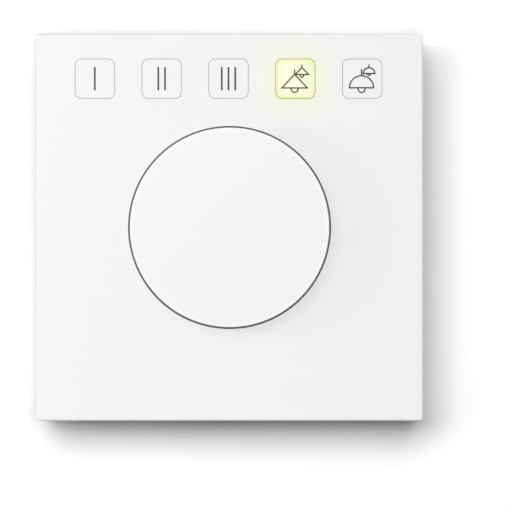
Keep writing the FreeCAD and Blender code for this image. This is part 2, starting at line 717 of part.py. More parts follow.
def filter_capacitor():
    """A can with a crimped waist on a square foot."""
    radius = CAN_D / 2
    low, high = SUPPLY_FRONT, SUPPLY_FRONT + CAN_TALL
    waist = SUPPLY_FRONT + CAN_WAIST_AT
    can = turned([(0, low), (radius, low), (radius, waist - CAN_WAIST), (radius - CAN_WAIST, waist),
                  (radius, waist + CAN_WAIST), (radius, high - CAN_WAIST), (radius - CAN_WAIST, high),
                  (0, high)], *CAN_AT)
    side = CAN_D + 2 * CAN_FOOT_MARGIN
    return fused([block(side, side, low, low + CAN_FOOT, *CAN_AT), can])


def choke():
    """A drum core, wound between its flanges, on the back of the supply board."""
    flange = CHOKE_D / 2
    winding = flange - CHOKE_WINDING_DEPTH
    high = SUPPLY_BACK
    low = SUPPLY_BACK - CHOKE_TALL
    return turned([(0, low), (flange, low), (flange, low + CHOKE_FLANGE), (winding, low + CHOKE_FLANGE),
                   (winding, high - CHOKE_FLANGE), (flange, high - CHOKE_FLANGE), (flange, high),
                   (0, high)], *CHOKE_AT)


def push_switch():
    """The switch under the spindle, with the bore that guides its plunger."""
    body = slab(SWITCH_SIDE, SWITCH_SIDE, SWITCH_CORNER, SUPPLY_FRONT, SWITCH_TOP)
    out, width, thick = SWITCH_LEG
    low, high = SUPPLY_FRONT, SUPPLY_FRONT + thick
    half = SWITCH_SIDE / 2
    legs = [block(out, width, low, high, side * half, row * (half - SWITCH_LEG_INSET))
            for side in (-1, 1) for row in (-1, 1)]
    bore_floor = SWITCH_TOP - PLUNGER_IN - PUSH_TRAVEL - STOP_CLEAR
    bore = disc(PLUNGER_D / 2 + PLUNGER_CLEAR, bore_floor, SWITCH_TOP + OVER)
    return fused([body] + legs).cut(bore)


def switch_plunger():
    radius = PLUNGER_D / 2
    low = SWITCH_TOP - PLUNGER_IN
    return turned([(0, low), (radius, low), (radius, PLUNGER_TOP - PLUNGER_EDGE),
                   (radius - PLUNGER_EDGE, PLUNGER_TOP), (0, PLUNGER_TOP)])


# Rear housing

def snap_hook_noses():
    """Wedges on the insert's sides, which catch in the recesses behind the wall bracket."""
    noses = []
    face = INSERT_SIDE / 2
    root = face - INSERT_WALL / 2
    tip = face + BRACKET_GAP + HOOK_CATCH
    top = CATCH_DEPTH - HOOK_PLAY
    ramp = -HOOK_TIP - HOOK_RAMP
    for side, y in HOOKS:
        outline = [(root, ramp), (face, ramp), (tip, -HOOK_TIP), (tip, top), (root, top)]
        wedge = Part.Face(closed([(side * x, y - HOOK_WIDTH / 2, z) for x, z in outline]))
        noses.append(wedge.extrude(Vec(0, HOOK_WIDTH, 0)))
    return noses


def snap_hook_slots():
    """Slots that free each hook on three sides, so that it can bend inwards."""
    slots = []
    wall = INSERT_SIDE / 2 - INSERT_WALL / 2
    deep = 2 * INSERT_WALL
    for side, y in HOOKS:
        for edge in (-1, 1):
            slots.append(block(deep, HOOK_SLOT, -HOOK_LENGTH, TRAY_BACK, side * wall,
                               y + edge * (HOOK_WIDTH + HOOK_SLOT) / 2))
        slots.append(block(deep, HOOK_WIDTH + HOOK_SLOT, 0, TRAY_BACK, side * wall, y))
    return slots


def tray_shell():
    """The shallow tray that closes the frame, in one with the deep insert."""
    floor = slab(TRAY_SIDE, TRAY_SIDE, CAVITY_CORNER, TRAY_BACK, TRAY_TOP)
    inside = TRAY_SIDE - 2 * TRAY_WALL
    wall = slab(TRAY_SIDE, TRAY_SIDE, CAVITY_CORNER, TRAY_TOP, BOARD_BOTTOM)
    wall = wall.cut(block(inside, inside, TRAY_TOP, BOARD_BOTTOM))
    back_side = INSERT_SIDE - 2 * INSERT_DRAFT
    insert = lofted(rounded_rectangle(back_side, back_side, INSERT_CORNER, INSERT_BACK),
                    rounded_rectangle(INSERT_SIDE, INSERT_SIDE, INSERT_CORNER, TRAY_BACK))
    return [floor, wall, insert]


def tray_ribs():
    """Ribs on the tray's floor, from the insert's wall to each housing screw."""
    ribs = []
    inner = INSERT_SIDE / 2 - RIB
    for x, y in POSTS:
        start = Vec(math.copysign(inner, x), math.copysign(min(inner, abs(y) - RIB), y), 0)
        run = Vec(x, y, 0) - start
        rib = Part.makeBox(run.Length, RIB, BOARD_BOTTOM - TRAY_TOP, Vec(0, -RIB / 2, TRAY_TOP))
        rib.rotate(Vec(0, 0, 0), Vec(0, 0, 1), math.degrees(math.atan2(run.y, run.x)))
        rib.translate(start)
        ribs.append(rib)
    return ribs


def box_screw_rooms():
    """Openings in the tray's floor round the heads of the box screws."""
    rooms = []
    corner = HEAD_ROOM / 2 - THREAD_CLEAR
    for x, y in BOX_SCREWS:
        width = HEAD_ROOM + (SLOT_EXTRA if y == 0 else 0)
        height = HEAD_ROOM + (SLOT_EXTRA if x == 0 else 0)
        rooms.append(slab(width, height, corner, TRAY_BACK - OVER, BOARD_BOTTOM, x, y))
    return rooms


def housing_screw_holes():
    """A clearance hole and a counterbore for each housing screw."""
    hole = HOUSING_SCREW_D / 2 + SCREW_CLEAR
    sink = HOUSING_HEAD_D / 2 + SCREW_CLEAR
    holes = [disc(hole, TRAY_BACK - OVER, BOARD_BOTTOM + OVER, x, y) for x, y in POSTS]
    sinks = [disc(sink, TRAY_BACK - OVER, TRAY_BACK + HOUSING_HEAD, x, y) for x, y in POSTS]
    return holes + sinks


def supply_screw_holes():
    pilot = SUPPLY_SCREW_D / 2 + THREAD_CLEAR
    low, high = SUPPLY_BACK - SUPPLY_SCREW_LENGTH, SUPPLY_BACK + OVER
    return [disc(pilot, low, high, x, y) for x, y in SUPPLY_SCREWS]


def tab_rooms():
    """Openings in the tray's floor for the bracket's two tabs."""
    width = TAB_WIDTH + 2 * TAB_CLEAR
    height = BRACKET_THICK + 2 * TAB_BEND
    return [block(width, height, TRAY_BACK - OVER, BOARD_BOTTOM + OVER, 0, side * (TAB_Y - TAB_BEND / 2))
            for side in (-1, 1)]


def terminal_room():
    """The notch at the bottom of the insert that the bus terminal sits in."""
    high_y = TERMINAL_LOW_Y + TERMINAL_DEEP + TERMINAL_CLEAR
    low_y = TERMINAL_LOW_Y - OVER
    return block(TERMINAL_WIDTH + 2 * TERMINAL_CLEAR, high_y - low_y, INSERT_BACK - OVER, SUPPLY_BACK,
                 0, (low_y + high_y) / 2)


def base_tray():
    """The rear housing: a shallow tray that closes the frame, and a deep insert for the wall box."""
    bosses = [disc(POST_D / 2, TRAY_TOP, BOARD_BOTTOM, x, y) for x, y in POSTS]
    cavity = slab(INSERT_CAVITY, INSERT_CAVITY, INSERT_CAVITY_CORNER, INSERT_FLOOR, BOARD_BOTTOM + OVER)
    hollow = fused(tray_shell() + bosses + tray_ribs()).cut([cavity] + snap_hook_slots())
    floor = INSERT_BACK + INSERT_WALL / 2
    standoffs = [disc(STANDOFF_D / 2, floor, SUPPLY_BACK, x, y) for x, y in STANDOFFS]
    tray = fused([hollow] + standoffs + snap_hook_noses())
    cuts = box_screw_rooms() + housing_screw_holes() + supply_screw_holes() + tab_rooms()
    return tray.cut(cuts + [terminal_room()])


def housing_screws():
    """Four pan-head screws that pass through the tray and the main board into the frame."""
    screws = []
    head_top = TRAY_BACK + HOUSING_HEAD
    end = DECK_TOP - SCREW_ROOF - SCREW_END_GAP
    for x, y in POSTS:
        head = disc(HOUSING_HEAD_D / 2, TRAY_BACK, head_top, x, y)
        shank = disc(HOUSING_SCREW_D / 2, head_top, end, x, y)
        recess = cross_recess(x, y, TRAY_BACK, HOUSING_HEAD_D * RECESS_SHARE, HOUSING_HEAD * RECESS_SHARE)
        screws.append(fused([head, shank]).cut(recess))
    return Part.makeCompound(screws)


def supply_screws():
    """Two screws that hold the supply board to the stand-offs of the insert."""
    screws = []
    for x, y in SUPPLY_SCREWS:
        head = disc(SUPPLY_HEAD_D / 2, SUPPLY_FRONT, SUPPLY_FRONT + SUPPLY_HEAD, x, y)
        shank = disc(SUPPLY_SCREW_D / 2, SUPPLY_FRONT - SUPPLY_SCREW_LENGTH, SUPPLY_FRONT, x, y)
        screws.append(fused([head, shank]))
    return Part.makeCompound(screws)


# Bus terminal

def bus_terminal():
    """A block with wire entries that face down and clamp screws that face into the wall box."""
    body = block(TERMINAL_WIDTH, TERMINAL_DEEP, INSERT_BACK, SUPPLY_BACK, 0, TERMINAL_Y)
    corner = [(-TERMINAL_WIDTH, TERMINAL_LOW_Y, INSERT_BACK + TERMINAL_BEVEL),
              (-TERMINAL_WIDTH, TERMINAL_LOW_Y, INSERT_BACK),
              (-TERMINAL_WIDTH, TERMINAL_LOW_Y + TERMINAL_BEVEL, INSERT_BACK)]
    bevel = Part.Face(closed(corner)).extrude(Vec(2 * TERMINAL_WIDTH, 0, 0))
    wide, tall = TERMINAL_WIRE
    entry_low = INSERT_BACK + TERMINAL_WIRE_AT
    cuts = [bevel]
    for x in TERMINAL_XS:
        cuts.append(block(wide, 2 * TERMINAL_WIRE_DEPTH, entry_low, entry_low + tall, x, TERMINAL_LOW_Y))
        cuts.append(disc(TERMINAL_SCREW_D / 2 + SCREW_CLEAR, INSERT_BACK - OVER,
                         INSERT_BACK + TERMINAL_SCREW_DEPTH, x, TERMINAL_SCREW_Y))
    return body.cut(cuts)


def terminal_screws():
    """The slotted heads of the clamp screws."""
    screws = []
    low = INSERT_BACK + TERMINAL_SCREW_SUNK
    for x in TERMINAL_XS:
        head = disc(TERMINAL_SCREW_D / 2, low, INSERT_BACK + TERMINAL_SCREW_DEPTH, x, TERMINAL_SCREW_Y)
        slot = block(TERMINAL_SCREW_D + OVER, TERMINAL_SLOT, low - OVER, low + TERMINAL_SLOT,
                     x, TERMINAL_SCREW_Y)
        screws.append(head.cut(slot))
    return Part.makeCompound(screws)


# Wall bracket

def bracket_tab(side):
    """A tab that is bent forward from the bracket's edge and carries the housing."""
    middle = BRACKET_THICK / 2
    route = [(side * (TAB_Y - TAB_ROOT), middle), (side * TAB_Y, middle), (side * TAB_Y, TAB_HEIGHT)]
    return side_strip(route, TAB_BEND, BRACKET_THICK, TAB_WIDTH)


def box_screw_slots():
    """Slots for the box screws, long enough to level the bracket."""
    low, high = -OVER, BRACKET_THICK + OVER
    slots = []
    for x, y in BOX_SCREWS:
        along_x = SLOT_EXTRA / 2 if y == 0 else 0
        along_y = SLOT_EXTRA / 2 if x == 0 else 0
        middle = block(2 * along_x or SLOT_WIDTH, 2 * along_y or SLOT_WIDTH, low, high, x, y)
        ends = [disc(SLOT_WIDTH / 2, low, high, x + end * along_x, y + end * along_y) for end in (-1, 1)]
        slots.append(fused([middle] + ends))
    return slots


def hook_catches():
    """Recesses pressed into the bracket's back, behind the noses of the snap hooks."""
    reach = HOOK_CATCH + CATCH_MARGIN
    width = HOOK_WIDTH + 2 * CATCH_MARGIN
    return [block(reach + OVER, width, -OVER, CATCH_DEPTH, side * (BRACKET_OPENING + reach - OVER) / 2, y)
            for side, y in HOOKS]


def wall_bracket():
    low, high = -OVER, BRACKET_THICK + OVER
    plate = slab(BRACKET_SIDE, BRACKET_SIDE, BRACKET_CORNER, 0, BRACKET_THICK)
    relief = 2 * (BRACKET_THICK + TAB_BEND)
    reliefs = [block(TAB_WIDTH, relief, low, high, 0, side * BRACKET_SIDE / 2) for side in (-1, 1)]
    plate = fused([plate.cut(reliefs), bracket_tab(-1), bracket_tab(1)])
    opening = slab(BRACKET_OPENING, BRACKET_OPENING, INSERT_CORNER + BRACKET_GAP, low, high)
    return plate.cut([opening] + box_screw_slots() + hook_catches())


# Dial and spindle

def dial_cup():
    """The turned dial: a hub on the spindle, a thin floor, and the rim round the inlay."""
    outer = DIAL_D / 2
    lip = outer - DIAL_RIM
    skirt = outer - DIAL_SKIRT
    floor = INLAY_SEAT - DIAL_FLOOR
    hub = DIAL_HUB_D / 2
    body = turned([(0, HUB_BACK), (hub, HUB_BACK), (hub, floor), (skirt, floor), (skirt, DIAL_BACK),
                   (outer - DIAL_BACK_EDGE, DIAL_BACK), (outer, DIAL_BACK + DIAL_BACK_EDGE),
                   (outer, DIAL_FRONT - DIAL_FRONT_EDGE), (outer - DIAL_FRONT_EDGE, DIAL_FRONT),
                   (lip, DIAL_FRONT), (lip, INLAY_SEAT), (0, INLAY_SEAT)])
    screw_r = DIAL_SCREW_D / 2
    sink = Part.makeCone(screw_r, DIAL_SCREW_HEAD_D / 2, DIAL_SCREW_HEAD,
                         Vec(0, 0, INLAY_SEAT - DIAL_SCREW_HEAD))
    hole = disc(screw_r + THREAD_CLEAR, SPINDLE_TOP - OVER, INLAY_SEAT + OVER)
    socket = d_shaft(SPINDLE_D / 2 + FIT_CLEAR, HUB_BACK - OVER, SPINDLE_TOP)
    return body.cut([socket, sink, hole])


def dial_inlay():
    """The white disc in the dial's face, level with the rim."""
    radius = DIAL_D / 2 - DIAL_RIM - FIT_CLEAR
    front = DIAL_FRONT - FIT_CLEAR
    return turned([(0, INLAY_SEAT), (radius, INLAY_SEAT), (radius, front - INLAY_EDGE),
                   (radius - INLAY_EDGE, front), (0, front)])


def dial_screw():
    shank = DIAL_SCREW_D / 2
    end = INLAY_SEAT - DIAL_SCREW_LENGTH
    return turned([(0, end), (shank - DIAL_SCREW_POINT, end), (shank, end + DIAL_SCREW_POINT),
                   (shank, INLAY_SEAT - DIAL_SCREW_HEAD), (DIAL_SCREW_HEAD_D / 2, INLAY_SEAT),
                   (0, INLAY_SEAT)])


def dial_spindle():
    """A bar with a flat at each end, a groove for the clip, a tapped top and a slim tip."""
    radius = SPINDLE_D / 2
    groove = radius - CLIP_GROOVE
    tip = TIP_D / 2
    bar = turned([(0, SPINDLE_TIP), (tip - TIP_EDGE, SPINDLE_TIP), (tip, SPINDLE_TIP + TIP_EDGE),
                  (tip, MAGNET_BOTTOM), (radius, MAGNET_BOTTOM), (radius, CLIP_BOTTOM),
                  (groove, CLIP_BOTTOM), (groove, CLIP_TOP), (radius, CLIP_TOP),
                  (radius, SPINDLE_TOP), (0, SPINDLE_TOP)])
    beside = 2 * radius - FLAT_DEPTH
    flats = [block(2 * radius, 4 * radius, low, high, beside)
             for low, high in ((MAGNET_BOTTOM, WHEEL_TOP), (HUB_BACK, SPINDLE_TOP))]
    tap_end = INLAY_SEAT - DIAL_SCREW_LENGTH - TAP_EXTRA
    tapped = disc(DIAL_SCREW_D / 2 + THREAD_CLEAR, tap_end, SPINDLE_TOP + OVER)
    return bar.cut(flats + [tapped])


def spindle_bush():
    """A flanged bush, pressed into the frame's boss from the front."""
    flange = DECK_TOP - BUSH_FLANGE_THICK
    return turned([(BUSH_BORE_R, BUSH_BOTTOM), (BUSH_R - BUSH_LEAD, BUSH_BOTTOM),
                   (BUSH_R, BUSH_BOTTOM + BUSH_LEAD), (BUSH_R, flange), (FLANGE_R, flange),
                   (FLANGE_R, DECK_TOP), (BUSH_BORE_R, DECK_TOP)])


def thrust_washer():
    return ring(WASHER_D / 2, SPINDLE_D / 2 + RUNNING_CLEAR, CLIP_TOP, WASHER_TOP)


def retaining_clip():
    """An open clip whose three lugs sit in the spindle's groove."""
    groove = SPINDLE_D / 2 - CLIP_GROOVE + CLIP_BITE
    body = ring(CLIP_D / 2, SPINDLE_D / 2 + CLIP_RING_CLEAR, CLIP_BOTTOM, CLIP_TOP)
    lug_width, lug_end = CLIP_LUG
    inner, outer = groove / 2, SPINDLE_D / 2 + lug_end
    lugs = []
    for angle in (90, 180, 270):
        lug = block(outer - inner, lug_width, CLIP_BOTTOM, CLIP_TOP, (outer + inner) / 2, 0)
        lug.rotate(Vec(0, 0, 0), Vec(0, 0, 1), angle)
        lugs.append(lug)
    low, high = CLIP_BOTTOM - OVER, CLIP_TOP + OVER
    mouth = block(CLIP_D, 2 * (groove + CLIP_BITE), low, high, CLIP_D / 2, 0)
    return fused([body] + lugs).cut([mouth, disc(groove, low, high)])


def detent_wheel():
    """The wheel that gives the dial its clicks: one round notch for each step."""
    low, high = WHEEL_BOTTOM - OVER, WHEEL_TOP + OVER
    notches = []
    for step in range(DETENTS):
        angle = 2 * math.pi * step / DETENTS + math.pi / 2
        x, y = NOTCH_CENTRE * math.cos(angle), NOTCH_CENTRE * math.sin(angle)
        notches.append(disc(NOTCH_R, low, high, x, y))
    bore = d_shaft(SPINDLE_D / 2, low, high)
    return disc(WHEEL_R, WHEEL_BOTTOM, WHEEL_TOP).cut(notches + [bore])


def magnet_ring():
    return ring(MAGNET_D / 2, MAGNET_BORE / 2, MAGNET_BOTTOM, WHEEL_BOTTOM)


def detent_spring():
    """A leaf whose ends sit in two posts and whose nose rests in a notch of the wheel."""
    shoulder = LEAF_Y - NOSE_POINT
    end = LEAF_POST_X + LEAF_POST[0] / 2 - LEAF_END_GAP
    route = [(-end, LEAF_Y), (-shoulder, LEAF_Y), (0, NOSE_POINT), (shoulder, LEAF_Y), (end, LEAF_Y)]
    leaf = strip(route, NOSE_BEND, LEAF_THICK, LEAF_WIDTH)
    leaf.translate(Vec(0, 0, WHEEL_TOP - LEAF_WIDTH))
    return leaf


def pieces():
    """Every piece of the controller by its name, as seen from the front."""
    makers = [front_glass, glass_tape, touch_foil, cover_frame, reflector_block, field_leds, main_board,
              controller_chip, touch_chip, board_parts, foil_connector, board_header, supply_board,
              supply_chip, hall_sensor, filter_capacitor, choke, push_switch, switch_plunger, base_tray,
              housing_screws, supply_screws, bus_terminal, terminal_screws, wall_bracket, dial_cup,
              dial_inlay, dial_screw, dial_spindle, spindle_bush, thrust_washer, retaining_clip,
              detent_wheel, magnet_ring, detent_spring]
    made = {make.__name__: make() for make in makers}
    for number, x in enumerate(FIELD_XS, start=1):
        made[f"light_guide_{number}"] = light_guide(x)
    return made


def export(name, shape):
    """Stands a piece up, front towards -y, and writes it."""
    upright = shape.copy()
    upright.rotate(Vec(0, 0, 0), Vec(1, 0, 0), 90)
    upright.exportStep(os.path.join("parts", name + ".step"))


os.makedirs("parts", exist_ok=True)
for piece_name, piece_shape in pieces().items():
    export(piece_name, piece_shape)
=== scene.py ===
"""Rotary touch controller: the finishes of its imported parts, the marks printed on its
glass, the lit field, the wall it hangs on, the studio light and the camera."""

import json
import math

import bmesh
import bpy
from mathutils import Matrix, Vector

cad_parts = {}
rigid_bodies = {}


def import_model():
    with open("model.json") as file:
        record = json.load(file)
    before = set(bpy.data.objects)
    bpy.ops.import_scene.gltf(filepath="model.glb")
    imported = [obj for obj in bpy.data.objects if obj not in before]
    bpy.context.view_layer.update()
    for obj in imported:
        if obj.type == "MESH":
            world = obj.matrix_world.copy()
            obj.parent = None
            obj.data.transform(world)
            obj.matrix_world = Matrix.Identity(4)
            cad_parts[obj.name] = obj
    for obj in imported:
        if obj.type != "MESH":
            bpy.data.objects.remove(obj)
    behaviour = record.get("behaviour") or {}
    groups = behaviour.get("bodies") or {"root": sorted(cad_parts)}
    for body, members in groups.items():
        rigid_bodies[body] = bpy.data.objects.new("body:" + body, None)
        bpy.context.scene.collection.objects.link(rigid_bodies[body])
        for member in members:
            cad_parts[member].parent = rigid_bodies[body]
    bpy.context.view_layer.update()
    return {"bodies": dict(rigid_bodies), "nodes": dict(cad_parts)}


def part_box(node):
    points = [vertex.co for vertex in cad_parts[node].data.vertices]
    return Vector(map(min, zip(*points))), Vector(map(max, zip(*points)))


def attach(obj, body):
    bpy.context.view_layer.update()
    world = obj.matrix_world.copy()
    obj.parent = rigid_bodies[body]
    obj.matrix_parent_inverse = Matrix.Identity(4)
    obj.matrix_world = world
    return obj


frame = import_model()

MM = 0.001

# Stands a flat thing up to face the front, and a lamp or a camera to face the wall
UPRIGHT = (math.pi / 2, 0.0, 0.0)

# Plate and dial
GLASS_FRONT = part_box("front_glass")[0].y
PLATE_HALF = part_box("front_glass")[1].x
PLATE_RIM = 0.4 * MM
INLAY_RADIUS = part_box("dial_inlay")[1].x

# Thickness of the print on the glass
INK_SINK = 0.01 * MM
INK_HEIGHT = 0.02 * MM
INK_STEP = 0.002 * MM
WINDOW_STEPS = 6

# Touch fields, in a row along the top edge
FIELD_COUNT = 5
MIDDLE_FIELD = 3
FIELD_STEP = 14.87 * MM
FIELD_Z = 33.14 * MM
PRINT_SHIFT = -0.262 * MM
FIELD_SIZE = 8.99 * MM
FIELD_CORNER = 1.5 * MM
FIELD_LINE = 0.2 * MM

# Light of the lit field: a painted glow on the glass round it, and the glow in its window
LIT_FIELD = 4
LIT_X = (LIT_FIELD - MIDDLE_FIELD) * FIELD_STEP + PRINT_SHIFT
GLOW_REACH = 8.8 * MM
GLOW_CORNER = 3.3 * MM
GLOW_FALL = 2.0
WINDOW_FADE = 1.5 * MM
WINDOW_CORNER = 2.5 * MM

# Marks in the fields
BAR_FIELDS = (1, 2, 3)
DOME_FIELD = 5
STROKE = 0.31 * MM
STROKE_CORNER = 0.06 * MM
LAMPSHADE_CORNER = 0.22 * MM
BAR_WIDTH = 0.385 * MM
BAR_LENGTH = 5.17 * MM
BAR_STEP = 1.5 * MM

# Wall, and the painted shadow on it along the plate's left and top
WALL_SIZE = 3.0
WALL_GAP = 0.05 * MM
HALO_SHIFT = 0.8 * MM
HALO_WIDTH = 5.0 * MM
HALO_CORNER = 2.0 * MM
HALO_AT_LEFT = 0.235
HALO_AT_TOP = 0.34
HALO_AT_ITS_ENDS = 0.78
HALO_FULL_FROM = 70.0 * MM
HALO_END_BLUR = 1.0 * MM
HALO_LINE = 0.09
HALO_LINE_INNER = 0.1 * MM
HALO_LINE_OUTER = 0.4 * MM
HALO_LINE_CORNER = 0.9 * MM
HALO_SPARED = 0.11
HALO_SPARED_REACH = 7.0 * MM

# Camera
CAMERA_DISTANCE = 0.7
CAMERA_X = 5.64 * MM
CAMERA_Z = -6.1 * MM
CAMERA_LENS = 222.07
CAMERA_SENSOR = 36.0

# Room and lamps
ROOM_LIGHT = 0.08
ROOM_SEEN = 0.9
KEY_WATTS = 724.0
KEY_SIZE = (7.8, 10.0)
KEY_PLACE = (-0.6, -6.0, 5.3)
SOFT_WATTS = 10.0
SOFT_SIZE = (1.4, 1.4)
SOFT_PLACE = (-1.0, -2.0, 1.0)
SIDE_WATTS = 1.3
SIDE_SIZE = (0.3, 0.4)
SIDE_PLACE = (-0.45, -0.5, 0.15)
GRAZING_WATTS = 2.3
GRAZING_SIZE = (0.15, 0.4)
GRAZING_PLACE = (-1.0, -0.26, 0.05)
REAR_WATTS = 24.0
REAR_SIZE = (1.2, 1.2)
REAR_PLACE = (-0.3, 1.2, 0.8)


# Ways to put a finish together

def shader_of(finish):
    return finish.node_tree.nodes["Principled BSDF"]


def give(finish, socket, value):
    """Links an input to another node's output, or sets it to a plain value or colour."""
    if isinstance(value, bpy.types.NodeSocket):
        finish.node_tree.links.new(value, socket)
    elif socket.type == "RGBA":
        socket.default_value = (*value, 1.0)
    else:
        socket.default_value = value


def feed(finish, name, value):
    """Gives the shader's input of that name an output, a value or a colour."""
    give(finish, shader_of(finish).inputs[name], value)


def new_finish(name, colour, roughness, metallic=0.0, specular=0.5):
    """A material with its plain values on the shader."""
    finish = bpy.data.materials.new(name)
    finish.use_nodes = True
    feed(finish, "Base Color", colour)
    feed(finish, "Roughness", roughness)
    feed(finish, "Metallic", metallic)
    feed(finish, "Specular IOR Level", specular)
    return finish


def add(finish, kind, inputs=None, **settings):
    """Adds a shader node with its settings and inputs."""
    made = finish.node_tree.nodes.new("ShaderNode" + kind)
    for name, value in settings.items():
        setattr(made, name, value)
    for name, value in (inputs or {}).items():
        give(finish, made.inputs[name], value)
    return made


def place(finish, centre=(0.0, 0.0, 0.0), unit=(MM, MM, MM), turn=(0.0, 0.0, 0.0)):
    """The piece's own coordinates, counted from a centre in the given units."""
    own = add(finish, "TexCoord").outputs["Object"]
    mapped = add(finish, "Mapping", {
        "Vector": own, "Location": centre, "Rotation": turn, "Scale": unit,
    }, vector_type="TEXTURE")
    return mapped.outputs["Vector"]


def axes(finish, centre=(0.0, 0.0, 0.0)):
    """The piece's own coordinates one by one, in millimetres from a centre."""
    return add(finish, "SeparateXYZ", {"Vector": place(finish, centre)}).outputs


def facing(finish, axis):
    """How far the surface faces along an axis, from -1 to 1."""
    normal = add(finish, "NewGeometry").outputs["True Normal"]
    return add(finish, "SeparateXYZ", {"Vector": normal}).outputs[axis]


def noise(finish, size, detail=2.0, stretch=(1.0, 1.0, 1.0)):
    """Cloudy noise whose patches are about that many millimetres across."""
    unit = tuple(size * MM * share for share in stretch)
    return add(finish, "TexNoise", {
        "Vector": place(finish, unit=unit), "Scale": 1.0, "Detail": detail,
    }).outputs["Fac"]


def wave_scale(pitch):
    """The scale at which a wave texture draws a line every so many millimetres."""
    return math.pi / 10 / pitch


def rings(finish, pitch):
    """Turning lines round the axis that the dial turns on."""
    return add(finish, "TexWave", {
        "Vector": place(finish), "Scale": wave_scale(pitch),
        "Distortion": 0.6, "Detail": 2.0, "Detail Scale": 1.5,
    }, wave_type="RINGS", rings_direction="Y").outputs["Fac"]


def grains(finish, scale):
    """Rounded cells, that many to a millimetre."""
    return add(finish, "TexVoronoi", {
        "Vector": place(finish), "Scale": scale,
    }).outputs["Distance"]


def fit(finish, value, low, high, start=0.0, end=1.0, curve="LINEAR"):
    """Takes a value that runs from start to end and makes it run from low to high."""
    return add(finish, "MapRange", {
        "Value": value, "From Min": start, "From Max": end, "To Min": low, "To Max": high,
    }, interpolation_type=curve).outputs["Result"]


def count(finish, operation, first, second=0.0):
    """Arithmetic on one or two values."""
    made = add(finish, "Math", {0: first, 1: second}, operation=operation)
    return made.outputs["Value"]


def count_vectors(finish, operation, first, second=(0.0, 0.0, 0.0)):
    """Arithmetic on one or two vectors. A length comes out as a value."""
    made = add(finish, "VectorMath", {0: first, 1: second}, operation=operation)
    return made.outputs["Value" if operation == "LENGTH" else "Vector"]


def blend(finish, share, first, second):
    """Goes from the first colour to the second as the share goes from 0 to 1."""
    made = add(finish, "Mix", data_type="RGBA")
    inputs = {socket.identifier: socket for socket in made.inputs}
    give(finish, inputs["Factor_Float"], share)
    give(finish, inputs["A_Color"], first)
    give(finish, inputs["B_Color"], second)
    outputs = {socket.identifier: socket for socket in made.outputs}
    return outputs["Result_Color"]


def shade_of(colour, share):
    return tuple(min(1.0, part * share) for part in colour)


def vary(finish, pattern, colour, darker, lighter):
    """A colour that goes from a darker to a lighter share of itself along a pattern."""
    return blend(finish, pattern, shade_of(colour, darker), shade_of(colour, lighter))


def mottle(finish, colour, spread, pattern):
    """Lets the base colour drift by a small share either way along a pattern."""
    drift = vary(finish, pattern, colour, 1 - spread, 1 + spread)
    feed(finish, "Base Color", drift)
    return drift


def relief(finish, pattern, height, strength=1.0):
    """Raises the surface along a pattern by a height in millimetres."""
    bump = add(finish, "Bump", {
        "Height": pattern, "Distance": height * MM, "Strength": strength,
    })
    feed(finish, "Normal", bump.outputs["Normal"])


def across_the_front(finish, centre=(0.0, 0.0, 0.0)):
    """A point's place as seen from the front, without its depth."""
    return count_vectors(finish, "MULTIPLY", place(finish, centre), (1.0, 0.0, 1.0))


def from_square(finish, x, z, half, corner):
    """How far a point lies outside a rounded square on the front, in millimetres."""
    mirrored = count_vectors(finish, "ABSOLUTE", across_the_front(finish, (x, 0.0, z)))
    core = (half - corner) / MM
    past = count_vectors(finish, "SUBTRACT", mirrored, (core, 0.0, core))
    outside = count_vectors(finish, "MAXIMUM", past)
    length = count_vectors(finish, "LENGTH", outside)
    return count(finish, "SUBTRACT", length, corner / MM)


# Finishes of what shows from the front

def make_satin(finish, wave, height):
    """Gives a painted face an uneven satin gloss and soft waves of that size and height."""
    feed(finish, "Roughness", fit(finish, noise(finish, 0.5, 2.0), 0.33, 0.40))
    relief(finish, noise(finish, wave, 1.0), height)


def satin_white_glass():
    """White paint behind glass, with painted shade towards the top and a painted glow round the
    lit field.

    The rounded rim has painted shade along the top and the left, and painted light along the
    others.
    """
    paint = (0.788, 0.788, 0.788)
    # Painted shade and light: the paint is darker towards the top and lighter towards the foot.
    painted_shade, painted_light = shade_of(paint, 0.970), shade_of(paint, 1.011)
    unevenness = 0.15
    # Painted glow: the lit field's light on the glass round it, put into the paint's colour.
    painted_glow = (0.803, 0.803, 0.655)
    sides = (0.89, 0.90, 0.89)
    # Painted shade on the rim along the top and the left, painted light along the right and the
    # foot.
    painted_shade_top_rim, painted_shade_left_rim, painted_light_rim = (0.47,) * 3, (0.64,) * 3, (0.99,) * 3
    rim_blur = 0.1
    finish = new_finish("satin_white_glass", paint, 0.36, specular=0.4)
    own = axes(finish)
    inner, outer = (PLATE_HALF - PLATE_RIM) / MM, PLATE_HALF / MM
    down = fit(finish, own["Z"], 0.0, 1.0, outer, -outer)
    cloud = fit(finish, noise(finish, 9.0, 3.0), -unevenness, unevenness)
    # Painted shade from top to foot, mixed with a faint random cloudiness.
    even = blend(finish, count(finish, "ADD", down, cloud), painted_shade, painted_light)
    # Painted glow, strongest next to the lit field and gone a few millimetres out.
    gap = from_square(finish, LIT_X, FIELD_Z, FIELD_SIZE / 2, GLOW_CORNER)
    near = fit(finish, gap, 1.0, 0.0, 0.0, GLOW_REACH / MM)
    painted = blend(finish, count(finish, "POWER", near, GLOW_FALL), even, painted_glow)
    # Each side of the rounded rim gets its painted shade or painted light.
    rims = (("Z", 1, painted_shade_top_rim), ("X", -1, painted_shade_left_rim), ("X", 1, painted_light_rim), ("Z", -1, painted_light_rim))
    for axis, side, rim in rims:
        ramp = fit(finish, own[axis], 0.0, 1.0, side * inner, side * outer)
        painted = blend(finish, ramp, painted, rim)
    rim_back = (GLASS_FRONT + PLATE_RIM) / MM
    behind_rim = fit(finish, own["Y"], 0.0, 1.0, rim_back - rim_blur, rim_back)
    feed(finish, "Base Color", blend(finish, behind_rim, painted, sides))
    make_satin(finish, wave=6.0, height=0.004)
    return finish


